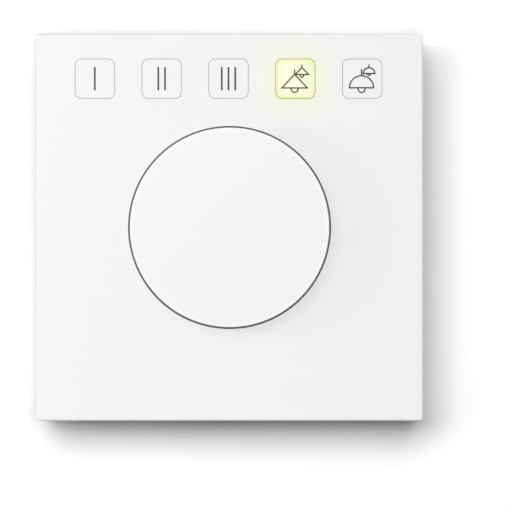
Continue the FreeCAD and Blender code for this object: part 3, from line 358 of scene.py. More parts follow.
def satin_white_lacquer():
    """The dial's disc: white lacquer with a soft orange peel, and a painted highlight at its
    edge.
    """
    # Painted highlight: the disc's outermost millimetre is lighter.
    lacquer, painted_light = (0.79, 0.79, 0.79), (0.84, 0.84, 0.84)
    edge_from, edge_to = INLAY_RADIUS / MM - 1.0, INLAY_RADIUS / MM - 0.2
    finish = new_finish("satin_white_lacquer", lacquer, 0.36, specular=0.4)
    drift = mottle(finish, lacquer, 0.006, noise(finish, 7.0, 3.0))
    reach = count_vectors(finish, "LENGTH", across_the_front(finish))
    # Painted highlight along the edge of the disc.
    outermost = fit(finish, reach, 0.0, 1.0, edge_from, edge_to)
    feed(finish, "Base Color", blend(finish, outermost, drift, painted_light))
    make_satin(finish, wave=2.5, height=0.002)
    return finish


def dark_turned_aluminium():
    """Dark grey anodising over fine turning lines."""
    dark = (0.075, 0.075, 0.078)
    finish = new_finish("dark_turned_aluminium", dark, 0.38, metallic=0.35)
    lines = rings(finish, 0.09)
    mottle(finish, dark, 0.22, lines)
    feed(finish, "Roughness", fit(finish, lines, 0.30, 0.44))
    relief(finish, lines, 0.002, 0.5)
    return finish


def smooth_ink(name, colour, drift):
    """Ceramic ink, slightly cloudy."""
    finish = new_finish(name, colour, 0.55, specular=0.3)
    mottle(finish, colour, drift, noise(finish, 0.12, 3.0))
    return finish


def pored_ink(name, colour, drift=0.10):
    """Ceramic ink with fine pores."""
    finish = smooth_ink(name, colour, drift)
    relief(finish, noise(finish, 0.08, 2.0), 0.002)
    return finish


def lit_print():
    """The outline of the lit field, which lets some of the light through."""
    finish = smooth_ink("lit_print", (0.25, 0.27, 0.12), 0.06)
    feed(finish, "Emission Color", (0.55, 0.60, 0.25))
    feed(finish, "Emission Strength", 0.25)
    return finish


def glowing_window():
    """Yellow-green light behind a diffusing window, brighter in the middle."""
    middle, edge = (0.955, 0.973, 0.730), (0.887, 0.922, 0.485)
    unlit = 0.30
    waviness = 0.1
    finish = new_finish("glowing_window", shade_of(middle, unlit), 0.4, specular=0.3)
    gap = from_square(finish, LIT_X, FIELD_Z, FIELD_SIZE / 2, WINDOW_CORNER)
    wave = fit(finish, noise(finish, 2.0, 1.0), -waviness, waviness)
    wavy = count(finish, "ADD", gap, wave)
    out = fit(finish, wavy, 0.0, 1.0, -WINDOW_FADE / MM, 0.0, "SMOOTHSTEP")
    reflected = blend(finish, out, shade_of(middle, unlit), shade_of(edge, unlit))
    feed(finish, "Base Color", reflected)
    feed(finish, "Emission Color", blend(finish, out, middle, edge))
    feed(finish, "Emission Strength", 0.645)
    return finish


# Finishes of the mouldings

def moulding(name, colour, grain=0.18, depth=0.006, roughness=(0.42, 0.58), drift=0.03):
    """Moulded plastic with a spark-eroded grain."""
    finish = new_finish(name, colour, sum(roughness) / 2)
    mottle(finish, colour, drift, noise(finish, 5.0, 4.0))
    fine = noise(finish, grain, 3.0)
    feed(finish, "Roughness", fit(finish, fine, roughness[1], roughness[0]))
    relief(finish, fine, depth)
    return finish


def white_moulded_frame():
    return moulding("white_moulded_frame", (0.60, 0.60, 0.595))


def grey_moulded_tray():
    return moulding("grey_moulded_tray", (0.115, 0.12, 0.125), grain=0.25, depth=0.010)


def glossy_white_reflector():
    return moulding(
        "glossy_white_reflector", (0.85, 0.85, 0.84),
        grain=0.4, depth=0.003, roughness=(0.18, 0.28), drift=0.015)


def black_moulded_switch():
    return moulding(
        "black_moulded_switch", (0.016, 0.016, 0.018),
        grain=0.12, depth=0.004, roughness=(0.35, 0.5), drift=0.15)


def white_plunger():
    return moulding(
        "white_plunger", (0.74, 0.74, 0.70),
        grain=0.10, depth=0.002, roughness=(0.3, 0.42), drift=0.02)


def pale_grey_terminal():
    return moulding(
        "pale_grey_terminal", (0.46, 0.48, 0.48),
        grain=0.2, depth=0.005, roughness=(0.35, 0.5), drift=0.04)


def nylon_washer():
    """Milky nylon with fine turning lines."""
    milky = (0.78, 0.76, 0.68)
    finish = new_finish("nylon_washer", milky, 0.42)
    mottle(finish, milky, 0.03, noise(finish, 1.5, 3.0))
    relief(finish, rings(finish, 0.12), 0.002)
    return finish


def acetal_wheel():
    """Moulded acetal, waxy and slightly cloudy, with faint rings round its hub."""
    waxy = (0.80, 0.80, 0.76)
    finish = new_finish("acetal_wheel", waxy, 0.3)
    mottle(finish, waxy, 0.025, noise(finish, 2.0, 4.0, (1.0, 3.0, 1.0)))
    feed(finish, "Roughness", fit(finish, noise(finish, 0.3, 2.0), 0.24, 0.36))
    relief(finish, rings(finish, 0.5), 0.001)
    return finish


def ivory_connector():
    """Ivory moulding with a dark slot line at every contact."""
    ivory, dark = (0.68, 0.64, 0.48), (0.20, 0.18, 0.13)
    contact_step = 0.5
    finish = new_finish("ivory_connector", ivory, 0.45)
    bands = add(finish, "TexWave", {
        "Vector": place(finish), "Scale": wave_scale(contact_step),
    }, wave_type="BANDS", bands_direction="X").outputs["Fac"]
    slots = fit(finish, bands, 0.0, 1.0, 0.75, 0.9)
    drift = vary(finish, noise(finish, 1.0, 3.0), ivory, 0.97, 1.03)
    feed(finish, "Base Color", blend(finish, slots, drift, dark))
    relief(finish, bands, 0.02, 0.4)
    return finish


def black_header():
    """Black moulding with gold-flashed pins in a row."""
    black, gold = (0.018, 0.018, 0.018), (0.83, 0.62, 0.25)
    pin_step = 2.54
    low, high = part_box("board_header")
    middle = ((low.x + high.x) / 2, 0.0, 0.0)
    finish = new_finish("black_header", black, 0.4)
    own = axes(finish, middle)
    off_pin = count(finish, "PINGPONG", own["Z"], pin_step / 2)
    pin = fit(finish, off_pin, 1.0, 0.0, 0.30, 0.34)
    drift = vary(finish, noise(finish, 0.6, 3.0), black, 0.8, 1.3)
    outward = count(finish, "ABSOLUTE", own["X"])
    bare = fit(finish, outward, 0.0, 1.0, 1.26, 1.28)
    metal = count(finish, "MULTIPLY", pin, bare)
    feed(finish, "Base Color", blend(finish, metal, drift, gold))
    feed(finish, "Metallic", metal)
    relief(finish, noise(finish, 0.1, 2.0), 0.002)
    return finish


# Finishes of the electronics

def solder_masked_board():
    """Green solder mask over copper tracks, with tinned pads."""
    mask, track, tin = (0.012, 0.085, 0.036), (0.026, 0.150, 0.062), (0.62, 0.62, 0.60)
    finish = new_finish("solder_masked_board", mask, 0.35)
    flat = place(finish, turn=UPRIGHT)
    runs = add(finish, "TexBrick", {
        "Vector": flat, "Scale": 1.0, "Mortar Size": 0.11, "Mortar Smooth": 0.1,
        "Brick Width": 4.6, "Row Height": 1.15,
    }, offset=0.37, squash=0.6, squash_frequency=3).outputs["Fac"]
    cells = add(finish, "TexVoronoi", {
        "Vector": flat, "Scale": 0.42, "Randomness": 0.8,
    }, voronoi_dimensions="2D").outputs["Distance"]
    pads = fit(finish, cells, 1.0, 0.0, 0.10, 0.12)
    cloudy = vary(finish, noise(finish, 6.0, 3.0), mask, 0.9, 1.1)
    tracks = blend(finish, runs, cloudy, track)
    feed(finish, "Base Color", blend(finish, pads, tracks, tin))
    feed(finish, "Metallic", pads)
    relief(finish, runs, 0.03, 0.5)
    return finish


def moulded_chip():
    """Black epoxy with silica specks."""
    epoxy = (0.020, 0.020, 0.022)
    finish = new_finish("moulded_chip", epoxy, 0.55)
    specks = noise(finish, 0.06, 4.0)
    mottle(finish, epoxy, 0.35, specks)
    feed(finish, "Roughness", fit(finish, specks, 0.62, 0.45))
    relief(finish, specks, 0.003)
    return finish


def ceramic_parts():
    """Small tan ceramic parts with tinned ends."""
    tan, tin = (0.27, 0.16, 0.085), (0.66, 0.66, 0.64)
    finish = new_finish("ceramic_parts", tan, 0.42)
    sideways = count(finish, "ABSOLUTE", facing(finish, "X"))
    ends = fit(finish, sideways, 0.0, 1.0, 0.6, 0.8)
    drift = vary(finish, noise(finish, 0.3, 3.0), tan, 0.85, 1.15)
    feed(finish, "Base Color", blend(finish, ends, drift, tin))
    feed(finish, "Metallic", ends)
    relief(finish, noise(finish, 0.08, 2.0), 0.003)
    return finish


def lamp_package():
    """White lamp bodies with a disc of yellow phosphor in each."""
    body, phosphor = (0.78, 0.76, 0.68), (0.78, 0.58, 0.06)
    disc_inner, disc_outer = 0.95, 1.05
    finish = new_finish("lamp_package", body, 0.3)
    own = axes(finish, (0.0, 0.0, FIELD_Z))
    across = count(finish, "PINGPONG", own["X"], FIELD_STEP / 2 / MM)
    across_squared = count(finish, "POWER", across, 2.0)
    up_squared = count(finish, "POWER", count(finish, "ABSOLUTE", own["Z"]), 2.0)
    away = count(finish, "SQRT", count(finish, "ADD", across_squared, up_squared))
    disc = fit(finish, away, 1.0, 0.0, disc_inner, disc_outer)
    powder = vary(finish, noise(finish, 0.08, 3.0), phosphor, 0.8, 1.15)
    feed(finish, "Base Color", blend(finish, disc, body, powder))
    relief(finish, noise(finish, 0.1, 2.0), 0.002)
    return finish


def sintered_ferrite():
    """Dark ceramic with fine glinting grains."""
    grey = (0.030, 0.030, 0.033)
    finish = new_finish("sintered_ferrite", grey, 0.5, metallic=0.3)
    cells = grains(finish, 9.0)
    mottle(finish, grey, 0.4, cells)
    feed(finish, "Roughness", fit(finish, cells, 0.38, 0.65, 0.0, 0.8))
    relief(finish, cells, 0.004)
    return finish


def drawn_can():
    """Bright drawn aluminium with the dark half mark of a filter capacitor on its end."""
    silver, dark = (0.66, 0.67, 0.68), (0.03, 0.03, 0.035)
    low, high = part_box("filter_capacitor")
    finish = new_finish("drawn_can", silver, 0.3, metallic=1.0)
    across = axes(finish, tuple((low + high) / 2))["X"]
    end = fit(finish, facing(finish, "Y"), 1.0, 0.0, -0.9, -0.7)
    mark = count(finish, "MULTIPLY", end, fit(finish, across, 0.0, 1.0, 1.00, 1.05))
    lines = noise(finish, 0.08, 2.0, (1.0, 20.0, 1.0))
    drawn = vary(finish, lines, silver, 0.9, 1.08)
    feed(finish, "Base Color", blend(finish, mark, drawn, dark))
    feed(finish, "Roughness", fit(finish, lines, 0.24, 0.38))
    relief(finish, lines, 0.002)
    return finish


def frosted_guide(name="frosted_guide", colour=(0.86, 0.88, 0.80)):
    """Clear acrylic with a frosted face."""
    finish = new_finish(name, colour, 0.3)
    mottle(finish, colour, 0.02, noise(finish, 3.0, 3.0))
    frost = noise(finish, 0.10, 3.0)
    feed(finish, "Roughness", fit(finish, frost, 0.22, 0.45))
    relief(finish, frost, 0.004)
    feed(finish, "Transmission Weight", 0.45)
    feed(finish, "IOR", 1.49)
    return finish


def lit_guide():
    """The guide behind the lit field, brightest in its middle."""
    bright, dim = (0.95, 0.97, 0.70), (0.70, 0.76, 0.25)
    spot, depth_left_out = 5 * MM, 1.0
    finish = frosted_guide("lit_guide", (0.88, 0.92, 0.55))
    own = place(finish, (LIT_X, 0.0, FIELD_Z), unit=(spot, depth_left_out, spot))
    away = count_vectors(finish, "LENGTH", own)
    dimmer = fit(finish, away, 0.0, 1.0, 0.2, 1.2)
    feed(finish, "Emission Color", blend(finish, dimmer, bright, dim))
    feed(finish, "Emission Strength", 0.6)
    return finish


def printed_film():
    """Polyester film, printed with a fine silver mesh for its electrodes."""
    film, silver = (0.62, 0.58, 0.40), (0.52, 0.52, 0.54)
    finish = new_finish("printed_film", film, 0.22)
    mesh = add(finish, "TexBrick", {
        "Vector": place(finish, turn=UPRIGHT), "Scale": 1.0, "Mortar Size": 0.05,
        "Brick Width": 0.8, "Row Height": 0.8,
    }, offset=0.0).outputs["Fac"]
    drift = vary(finish, noise(finish, 4.0, 3.0), film, 0.96, 1.04)
    feed(finish, "Base Color", blend(finish, mesh, drift, silver))
    relief(finish, mesh, 0.01, 0.4)
    return finish


def foam_tape():
    """Closed-cell foam tape."""
    grey = (0.26, 0.26, 0.265)
    finish = new_finish("foam_tape", grey, 0.85, specular=0.2)
    cells = grains(finish, 6.0)
    mottle(finish, grey, 0.18, cells)
    relief(finish, cells, 0.03)
    return finish


# Finishes of the metal parts

def galvanised_sheet():
    """Zinc spangle over rolled steel, with fine scratches along the sheet."""
    zinc = (0.50, 0.51, 0.53)
    finish = new_finish("galvanised_sheet", zinc, 0.42, metallic=0.9)
    spangle = add(finish, "TexVoronoi", {
        "Vector": place(finish), "Scale": 0.32, "Detail": 2.0, "Roughness": 0.6,
    }).outputs["Color"]
    patch = add(finish, "SeparateColor", {"Color": spangle}).outputs["Red"]
    mottle(finish, zinc, 0.09, patch)
    feed(finish, "Roughness", fit(finish, patch, 0.37, 0.47))
    relief(finish, noise(finish, 0.10, 3.0, (12.0, 1.0, 1.0)), 0.003)
    return finish


def zinc_plated_screws():
    """Zinc plating with a fine grain, faintly blue and yellow in patches."""
    blue, yellow = (0.53, 0.55, 0.60), (0.66, 0.64, 0.56)
    finish = new_finish("zinc_plated_screws", (0.60, 0.61, 0.63), 0.32, metallic=1.0)
    patch = noise(finish, 1.2, 3.0)
    feed(finish, "Base Color", blend(finish, patch, blue, yellow))
    fine = noise(finish, 0.07, 3.0)
    feed(finish, "Roughness", fit(finish, fine, 0.24, 0.42))
    relief(finish, fine, 0.002)
    return finish


def ground_spindle():
    """Steel ground round its axis."""
    steel = (0.58, 0.58, 0.59)
    finish = new_finish("ground_spindle", steel, 0.2, metallic=1.0)
    lines = noise(finish, 0.06, 3.0, (6.0, 1.0, 6.0))
    mottle(finish, steel, 0.07, lines)
    feed(finish, "Roughness", fit(finish, lines, 0.14, 0.28))
    relief(finish, lines, 0.001)
    return finish


def sintered_bronze():
    """Oil-filled bronze with dark pores."""
    bronze, pore = (0.50, 0.27, 0.10), (0.09, 0.05, 0.02)
    finish = new_finish("sintered_bronze", bronze, 0.45, metallic=0.9)
    cells = grains(finish, 8.0)
    pores = fit(finish, noise(finish, 0.12, 3.0), 0.0, 1.0, 0.60, 0.68)
    drift = vary(finish, cells, bronze, 1.15, 0.8)
    feed(finish, "Base Color", blend(finish, pores, drift, pore))
    feed(finish, "Roughness", fit(finish, pores, 0.38, 0.75))
    relief(finish, cells, 0.004)
    return finish


def blue_spring_steel():
    """Hardened strip with rolling lines, faintly blue."""
    steel = (0.40, 0.41, 0.44)
    finish = new_finish("blue_spring_steel", steel, 0.28, metallic=1.0)
    lines = noise(finish, 0.07, 3.0, (15.0, 1.0, 1.0))
    mottle(finish, steel, 0.10, lines)
    feed(finish, "Roughness", fit(finish, lines, 0.20, 0.36))
    relief(finish, lines, 0.0015)
    return finish


FINISH_OF_SLOT = {
    "glass_white": satin_white_glass,
    "tape_grey": foam_tape,
    "foil_clear": printed_film,
    "frame_white": white_moulded_frame,
    "guide_clear": frosted_guide,
    "guide_lit": lit_guide,
    "reflector_white": glossy_white_reflector,
    "led_white": lamp_package,
    "board_green": solder_masked_board,
    "chip_black": moulded_chip,
    "part_tan": ceramic_parts,
    "connector_ivory": ivory_connector,
    "header_black": black_header,
    "can_silver": drawn_can,
    "ferrite": sintered_ferrite,
    "switch_black": black_moulded_switch,
    "plunger_white": white_plunger,
    "tray_grey": grey_moulded_tray,
    "screw_steel": zinc_plated_screws,
    "terminal_grey": pale_grey_terminal,
    "bracket_steel": galvanised_sheet,
    "dial_anodised": dark_turned_aluminium,
    "inlay_white": satin_white_lacquer,
    "spindle_steel": ground_spindle,
    "bush_bronze": sintered_bronze,
    "washer_nylon": nylon_washer,
    "wheel_acetal": acetal_wheel,
    "spring_steel": blue_spring_steel,
}


def dress_the_packed_parts():
    """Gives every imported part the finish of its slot."""
    made = {}
    for part in frame["nodes"].values():
        slot = part.material_slots[0].material.name
        if slot not in made:
            made[slot] = FINISH_OF_SLOT[slot]()
        part.material_slots[0].material = made[slot]


# Ways to print on the glass

def pick(*pieces):
    """Selects these pieces alone, or nothing. The first is the active one."""
    bpy.ops.object.select_all(action="DESELECT")
    for piece in pieces:
        piece.select_set(True)
    if pieces:
        bpy.context.view_layer.objects.active = pieces[0]


def set_down(piece, name):
    """Names a piece and puts its place, turn and size into its mesh."""
    piece.name = piece.data.name = name
    bpy.ops.object.transform_apply(location=True, rotation=True, scale=True)
    return piece


def edit(piece):
    """Opens one piece for editing, with all of it selected."""
    pick(piece)
    bpy.ops.object.mode_set(mode="EDIT")
    bpy.ops.mesh.select_all(action="SELECT")


def on_the_glass(name, width, height, x, z):
    """A rectangle that faces the front, just under the glass's surface."""
    pick()
    bpy.ops.mesh.primitive_plane_add(
        size=1.0, location=(x, GLASS_FRONT + INK_SINK, z), rotation=UPRIGHT)
    piece = bpy.context.object
    piece.scale = (width, height, 1.0)
    return set_down(piece, name)


def disc_on_the_glass(name, radius, x, z):
    """A disc that faces the front, just under the glass's surface."""
    pick()
    bpy.ops.mesh.primitive_circle_add(
        vertices=64, radius=radius, fill_type="NGON",
        location=(x, GLASS_FRONT + INK_SINK, z), rotation=UPRIGHT)
    return set_down(bpy.context.object, name)


def round_corners(radius, steps):
    """Rounds the selected corners of the open piece."""
    bpy.ops.mesh.bevel(offset=radius, segments=steps, affect="VERTICES")


def hollow(line):
    """Leaves only a line of that width along the inside of the outline."""
    bpy.ops.mesh.select_all(action="SELECT")
    bpy.ops.mesh.inset(thickness=line)
    bpy.ops.mesh.delete(type="FACE")


def cut_level(z, keep_above):
    """Cuts the open piece along a level line and keeps one side of it."""
    bpy.ops.mesh.select_all(action="SELECT")
    bpy.ops.mesh.bisect(
        plane_co=(0.0, 0.0, z), plane_no=(0.0, 0.0, 1.0),
        clear_inner=keep_above, clear_outer=not keep_above)


def raise_ink(steps=0):
    """Gives the flat mark the ink's thickness, some steps lower, and closes the piece.

    Where two marks cross they differ by a step, so that no two faces lie in one plane.
    """
    height = INK_SINK + INK_HEIGHT - steps * INK_STEP
    bpy.ops.mesh.select_all(action="SELECT")
    bpy.ops.mesh.extrude_region_move(TRANSFORM_OT_translate={"value": (0.0, -height, 0.0)})
    bpy.ops.mesh.select_all(action="SELECT")
    bpy.ops.mesh.normals_make_consistent(inside=False)
    bpy.ops.object.mode_set(mode="OBJECT")


def copy_aside(piece, name, x):
    """A copy with its own mesh, moved sideways."""
    pick(piece)
    bpy.ops.object.duplicate(linked=False)
    copied = bpy.context.object
    copied.location.x += x
    return set_down(copied, name)


def join(name, parts):
    """One piece of several."""
    pick(*parts)
    if len(parts) > 1:
        bpy.ops.object.join()
    parts[0].name = parts[0].data.name = name
    return parts[0]


def print_with(piece, finish):
    """Dries the ink: the piece gets its finish and rides on the housing."""
    piece.data.materials.clear()
    piece.data.materials.append(finish)
    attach(piece, "housing")


# Touch fields

def middle_of(field):
    """The middle of a field, counted from 1 on the left."""
    return (field - MIDDLE_FIELD) * FIELD_STEP + PRINT_SHIFT


def field_outlines(plain, lit):
    """Square outlines with round corners, one round each field."""
    first = on_the_glass("field_outline_1", FIELD_SIZE, FIELD_SIZE, middle_of(1), FIELD_Z)
    edit(first)
    round_corners(FIELD_CORNER, steps=10)
    hollow(FIELD_LINE)
    raise_ink()
    outlines = [first]
    for number in range(2, FIELD_COUNT + 1):
        aside = (number - 1) * FIELD_STEP
        outlines.append(copy_aside(first, f"field_outline_{number}", aside))
    for number, outline in enumerate(outlines, start=1):
        print_with(outline, lit if number == LIT_FIELD else plain)


def lit_window(finish):
    """The glowing window inside the lit field's outline."""
    inside = FIELD_SIZE - FIELD_LINE
    window = on_the_glass("lit_window", inside, inside, LIT_X, FIELD_Z)
    edit(window)
    round_corners(FIELD_CORNER - FIELD_LINE / 2, steps=10)
    raise_ink(WINDOW_STEPS)
    print_with(window, finish)


# Marks in the fields

def bar_mark(field, finish):
    """Upright bars side by side, as many as the field's number."""
    start = middle_of(field) - (field - 1) * BAR_STEP / 2
    first = on_the_glass("bar", BAR_WIDTH, BAR_LENGTH, start, FIELD_Z)
    edit(first)
    round_corners(STROKE_CORNER, steps=4)
    raise_ink()
    bars = [first]
    for step in range(1, field):
        bars.append(copy_aside(first, "bar", step * BAR_STEP))
    print_with(join(f"mark_{field}", bars), finish)


def select_corners(piece, choose):
    """Selects those corners of the open piece that are chosen from them all."""
    mesh = bmesh.from_edit_mesh(piece.data)
    chosen = choose(list(mesh.verts))
    for corner in mesh.verts:
        corner.select_set(corner in chosen)
    mesh.select_flush(False)
    bmesh.update_edit_mesh(piece.data)


def tips_of(corners):
    """The three outer corners of a hollow triangle: its apex and the two farthest out."""
    middle = sum((corner.co for corner in corners), Vector()) / len(corners)
    by_reach = sorted(corners, key=lambda corner: (corner.co - middle).length)
    apex = max(corners, key=lambda corner: corner.co.z)
    return by_reach[-2:] + [apex]


def cone_shade(x, apex, base, half_width, steps):
    """A triangle's outline whose line runs through the apex and both base corners."""
    lean = math.atan2(half_width, apex - base)
    top = apex + STROKE / 2 / math.sin(lean)
    bottom = base - STROKE / 2
    middle = (top + bottom) / 2
    width = 2 * (top - bottom) * math.tan(lean)
    shade = on_the_glass("shade", width, top - bottom, x, middle)
    edit(shade)
    select_corners(shade, lambda corners: [
        corner for corner in corners if corner.co.z > middle])
    bpy.ops.mesh.merge(type="CENTER")
    hollow(STROKE)
    select_corners(shade, tips_of)
    round_corners(LAMPSHADE_CORNER, steps=3)
    raise_ink(steps)
    return shade


def dome_shade(x, base, radius, steps):
    """A half circle's outline, closed by a straight base."""
    shade = disc_on_the_glass("shade", radius + STROKE / 2, x, base)
    edit(shade)
    cut_level(base - STROKE / 2, keep_above=True)
    hollow(STROKE)
    raise_ink(steps)
    return shade


def bulb(x, base, drop, radius, steps):
    """A round bulb that shows under a shade's base line, its middle a little below it."""
    ring = disc_on_the_glass("bulb", radius + STROKE / 2, x, base - drop)
    edit(ring)
    hollow(STROKE)
    cut_level(base - STROKE / 2, keep_above=False)
    raise_ink(steps)
    return ring


def cord_line(x, low, high, steps):
    """The straight line that a lamp hangs on."""
    line = on_the_glass("line", STROKE, high - low, x, (low + high) / 2)
    edit(line)
    round_corners(STROKE_CORNER, steps=3)
    raise_ink(steps)
    return line


def cone_lamp(x, cord_top, apex, base, half_width, drop, bulb_radius, steps):
    """A hanging lamp with a cone shade. Its cord is a step lower than the rest."""
    return [
        cone_shade(x, apex, base, half_width, steps),
        cord_line(x, apex, cord_top, steps + 1),
        bulb(x, base, drop, bulb_radius, steps),
    ]


def dome_lamp(x, cord_top, cord_foot, base, radius, drop, bulb_radius, steps):
    """A hanging lamp with a dome shade. Its cord is a step lower than the rest."""
    return [
        dome_shade(x, base, radius, steps),
        cord_line(x, cord_foot, cord_top, steps + 1),
        bulb(x, base, drop, bulb_radius, steps),
    ]


def cone_lamps(field, finish):
    """Two hanging lamps with cone shades, a large one and a small one."""
    x, z = middle_of(field), FIELD_Z
    large = cone_lamp(
        x - 0.15 * MM, cord_top=z + 2.03 * MM, apex=z + 0.96 * MM, base=z - 2.07 * MM,
        half_width=2.84 * MM, drop=0.24 * MM, bulb_radius=0.74 * MM, steps=0)
    small = cone_lamp(
        x + 1.47 * MM, cord_top=z + 3.14 * MM, apex=z + 2.45 * MM, base=z + 0.91 * MM,
        half_width=1.50 * MM, drop=0.19 * MM, bulb_radius=0.40 * MM, steps=2)
    print_with(join("mark_cone_lamps", large + small), finish)


def dome_lamps(field, finish):
    """Two hanging lamps with dome shades, a large one and a small one."""
    x, z = middle_of(field), FIELD_Z
    large = dome_lamp(
        x - 0.13 * MM, cord_top=z + 2.16 * MM, cord_foot=z + 0.69 * MM, base=z - 2.03 * MM,
        radius=2.69 * MM, drop=0.27 * MM, bulb_radius=0.76 * MM, steps=0)
    small = dome_lamp(
        x + 1.53 * MM, cord_top=z + 3.17 * MM, cord_foot=z + 2.43 * MM, base=z + 1.13 * MM,
        radius=1.30 * MM, drop=0.08 * MM, bulb_radius=0.32 * MM, steps=2)
    print_with(join("mark_dome_lamps", large + small), finish)


def print_the_glass():
    """Everything that is printed on the glass or shines through it."""
    dark = pored_ink("grey_print", (0.05, 0.05, 0.05))
    pale = pored_ink("pale_print", (0.435, 0.435, 0.435), drift=0.06)
    field_outlines(pale, lit_print())
    lit_window(glowing_window())
    for field in BAR_FIELDS:
        bar_mark(field, dark)
    cone_lamps(LIT_FIELD, pored_ink("olive_print", (0.062, 0.062, 0.015)))
    dome_lamps(DOME_FIELD, dark)


# Wall

def painted_shadow_of_the_plate(finish):
    """How deep the painted shadow is on the wall along the plate's left and top: a wide fade and
    a narrow line.

    The fade is spared, and the line deeper, near the top left corner. Both are weaker
    towards the ends of the two sides and stop there.
    """
    own = axes(finish)
    edge = PLATE_HALF / MM
    gap = from_square(finish, -HALO_SHIFT, HALO_SHIFT, PLATE_HALF, HALO_CORNER)
    above = fit(finish, own["Z"], 0.0, 1.0, edge, edge + HALO_SHIFT / MM)
    corner = fit(finish, own["X"], HALO_SPARED, 0.0, -edge, -edge + HALO_SPARED_REACH / MM)
    spared = count(finish, "MULTIPLY", above, corner)
    depth = count(finish, "SUBTRACT", fit(finish, above, HALO_AT_LEFT, HALO_AT_TOP), spared)
    fade = fit(finish, gap, 1.0, 0.0, 0.0, HALO_WIDTH / MM, "SMOOTHSTEP")
    outline = from_square(finish, -HALO_SHIFT, HALO_SHIFT, PLATE_HALF, HALO_LINE_CORNER)
    inner, outer = HALO_LINE_INNER / MM, HALO_LINE_OUTER / MM
    painted_shade = fit(finish, outline, 1.0, 0.0, inner, outer, "SMOOTHSTEP")
    line = count(finish, "MULTIPLY", painted_shade, count(finish, "ADD", spared, HALO_LINE))
    # The painted shadow is the fade and the line together.
    painted_shadow = count(finish, "ADD", count(finish, "MULTIPLY", depth, fade), line)
    up_left = count(finish, "SUBTRACT", own["Z"], own["X"])
    weaker = fit(finish, up_left, HALO_AT_ITS_ENDS, 1.0, 0.0, HALO_FULL_FROM / MM)
    blur = HALO_END_BLUR / MM
    ends = fit(finish, up_left, 0.0, 1.0, -blur, blur)
    return count(finish, "MULTIPLY", painted_shadow, count(finish, "MULTIPLY", weaker, ends))


def clear_from_behind(finish):
    """Lets a view from behind see through, and lets the rear lamp light what it sees."""
    path = add(finish, "LightPath").outputs
    behind = add(finish, "NewGeometry").outputs["Backfacing"]
    seen = count(finish, "MULTIPLY", path["Is Camera Ray"], behind)
    before_a_bounce = count(finish, "LESS_THAN", path["Diffuse Depth"], 0.5)
    in_front = count(finish, "SUBTRACT", 1.0, behind)
    spared = count(finish, "MULTIPLY", before_a_bounce, in_front)
    unshaded = count(finish, "MULTIPLY", path["Is Shadow Ray"], spared)
    either = add(finish, "MixShader", {
        0: count(finish, "MAXIMUM", seen, unshaded),
        1: shader_of(finish).outputs["BSDF"],
        2: add(finish, "BsdfTransparent").outputs["BSDF"],
    })
    surface = finish.node_tree.nodes["Material Output"].inputs["Surface"]
    give(finish, surface, either.outputs["Shader"])


def wall_paint():
    """Smooth white paint, with a faint painted shadow along the plate's left and top."""
    paint, darkest = (0.98, 0.98, 0.98), (0.0, 0.0, 0.0)
    finish = new_finish("wall_paint", paint, 0.9, specular=0.0)
    painted_shadow = painted_shadow_of_the_plate(finish)
    # Painted shadow: the wall's paint goes towards black by the shadow's depth.
    feed(finish, "Base Color", blend(finish, painted_shadow, paint, darkest))
    relief(finish, noise(finish, 1.5, 3.0), 0.004)
    clear_from_behind(finish)
    return finish


def make_wall():
    """A plain white wall that the housing's insert goes through."""
    pick()
    bpy.ops.mesh.primitive_plane_add(
        size=WALL_SIZE, location=(0.0, WALL_GAP, 0.0), rotation=UPRIGHT)
    wall = set_down(bpy.context.object, "wall")
    wall.data.materials.append(wall_paint())


# Room, lamps and camera

def make_room():
    """Weak even light from all sides, seen as a pale backdrop."""
    room = bpy.data.worlds.new("room")
    bpy.context.scene.world = room
    room.use_nodes = True
    nodes, links = room.node_tree.nodes, room.node_tree.links
    backdrop = nodes["Background"]
    backdrop.inputs["Color"].default_value = (1.0, 1.0, 1.0, 1.0)
    level = nodes.new("ShaderNodeMapRange")
    level.inputs["To Min"].default_value = ROOM_LIGHT
    level.inputs["To Max"].default_value = ROOM_SEEN
    seen = nodes.new("ShaderNodeLightPath").outputs["Is Camera Ray"]
    links.new(seen, level.inputs["Value"])
    links.new(level.outputs["Result"], backdrop.inputs["Strength"])


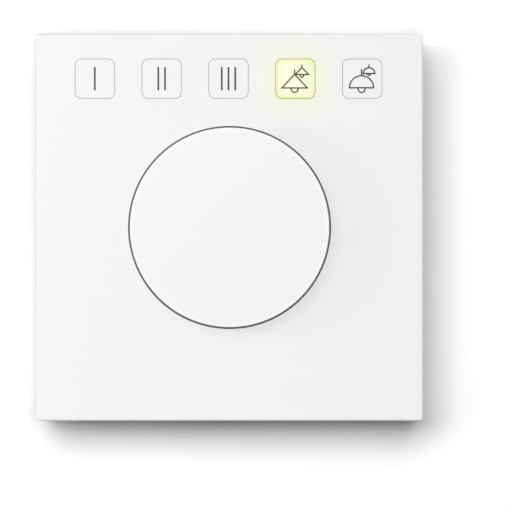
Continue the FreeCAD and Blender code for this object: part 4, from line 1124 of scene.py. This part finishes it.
def hang_lamp(name, watts, size, place_at):
    """A rectangular lamp that faces the object and doesn't show itself."""
    lamp_data = bpy.data.lights.new(name, "AREA")
    lamp_data.shape = "RECTANGLE"
    lamp_data.size, lamp_data.size_y = size
    lamp_data.energy = watts
    lamp = bpy.data.objects.new(name, lamp_data)
    lamp.location = place_at
    lamp.rotation_euler = (-Vector(place_at)).to_track_quat("-Z", "Y").to_euler()
    lamp.visible_camera = False
    bpy.context.scene.collection.objects.link(lamp)
    return lamp


def spare_from_shadow(lamp, body):
    """The parts on a body cast no shadow in this lamp's light."""
    spared = bpy.data.collections.new(f"no_shadow_from_{lamp.name}")
    for part in frame["bodies"][body].children:
        spared.objects.link(part)
    lamp.light_linking.blocker_collection = spared
    for entry in spared.collection_objects:
        entry.light_linking.link_state = "EXCLUDE"


def light_the_room():
    """A large key lamp high in front, three small ones on the left, and one at the back.

    The key lamp and the soft lamp face the wall squarely.
    """
    key = hang_lamp("key_lamp", KEY_WATTS, KEY_SIZE, KEY_PLACE)
    spare_from_shadow(key, "dial")
    soft = hang_lamp("soft_lamp", SOFT_WATTS, SOFT_SIZE, SOFT_PLACE)
    for lamp in (key, soft):
        lamp.rotation_euler = UPRIGHT
    side = hang_lamp("side_lamp", SIDE_WATTS, SIDE_SIZE, SIDE_PLACE)
    spare_from_shadow(side, "dial")
    hang_lamp("grazing_lamp", GRAZING_WATTS, GRAZING_SIZE, GRAZING_PLACE)
    hang_lamp("rear_lamp", REAR_WATTS, REAR_SIZE, REAR_PLACE)


def set_up_camera():
    """Straight on, a little right of and below the controller's middle."""
    lens = bpy.data.cameras.new("camera")
    lens.sensor_width = CAMERA_SENSOR
    lens.lens = CAMERA_LENS
    camera = bpy.data.objects.new("camera", lens)
    camera.location = (CAMERA_X, GLASS_FRONT - CAMERA_DISTANCE, CAMERA_Z)
    camera.rotation_euler = UPRIGHT
    bpy.context.scene.collection.objects.link(camera)
    bpy.context.scene.camera = camera
    bpy.context.scene.view_settings.view_transform = "Standard"


dress_the_packed_parts()
print_the_glass()
make_wall()
make_room()
light_the_room()
set_up_camera()
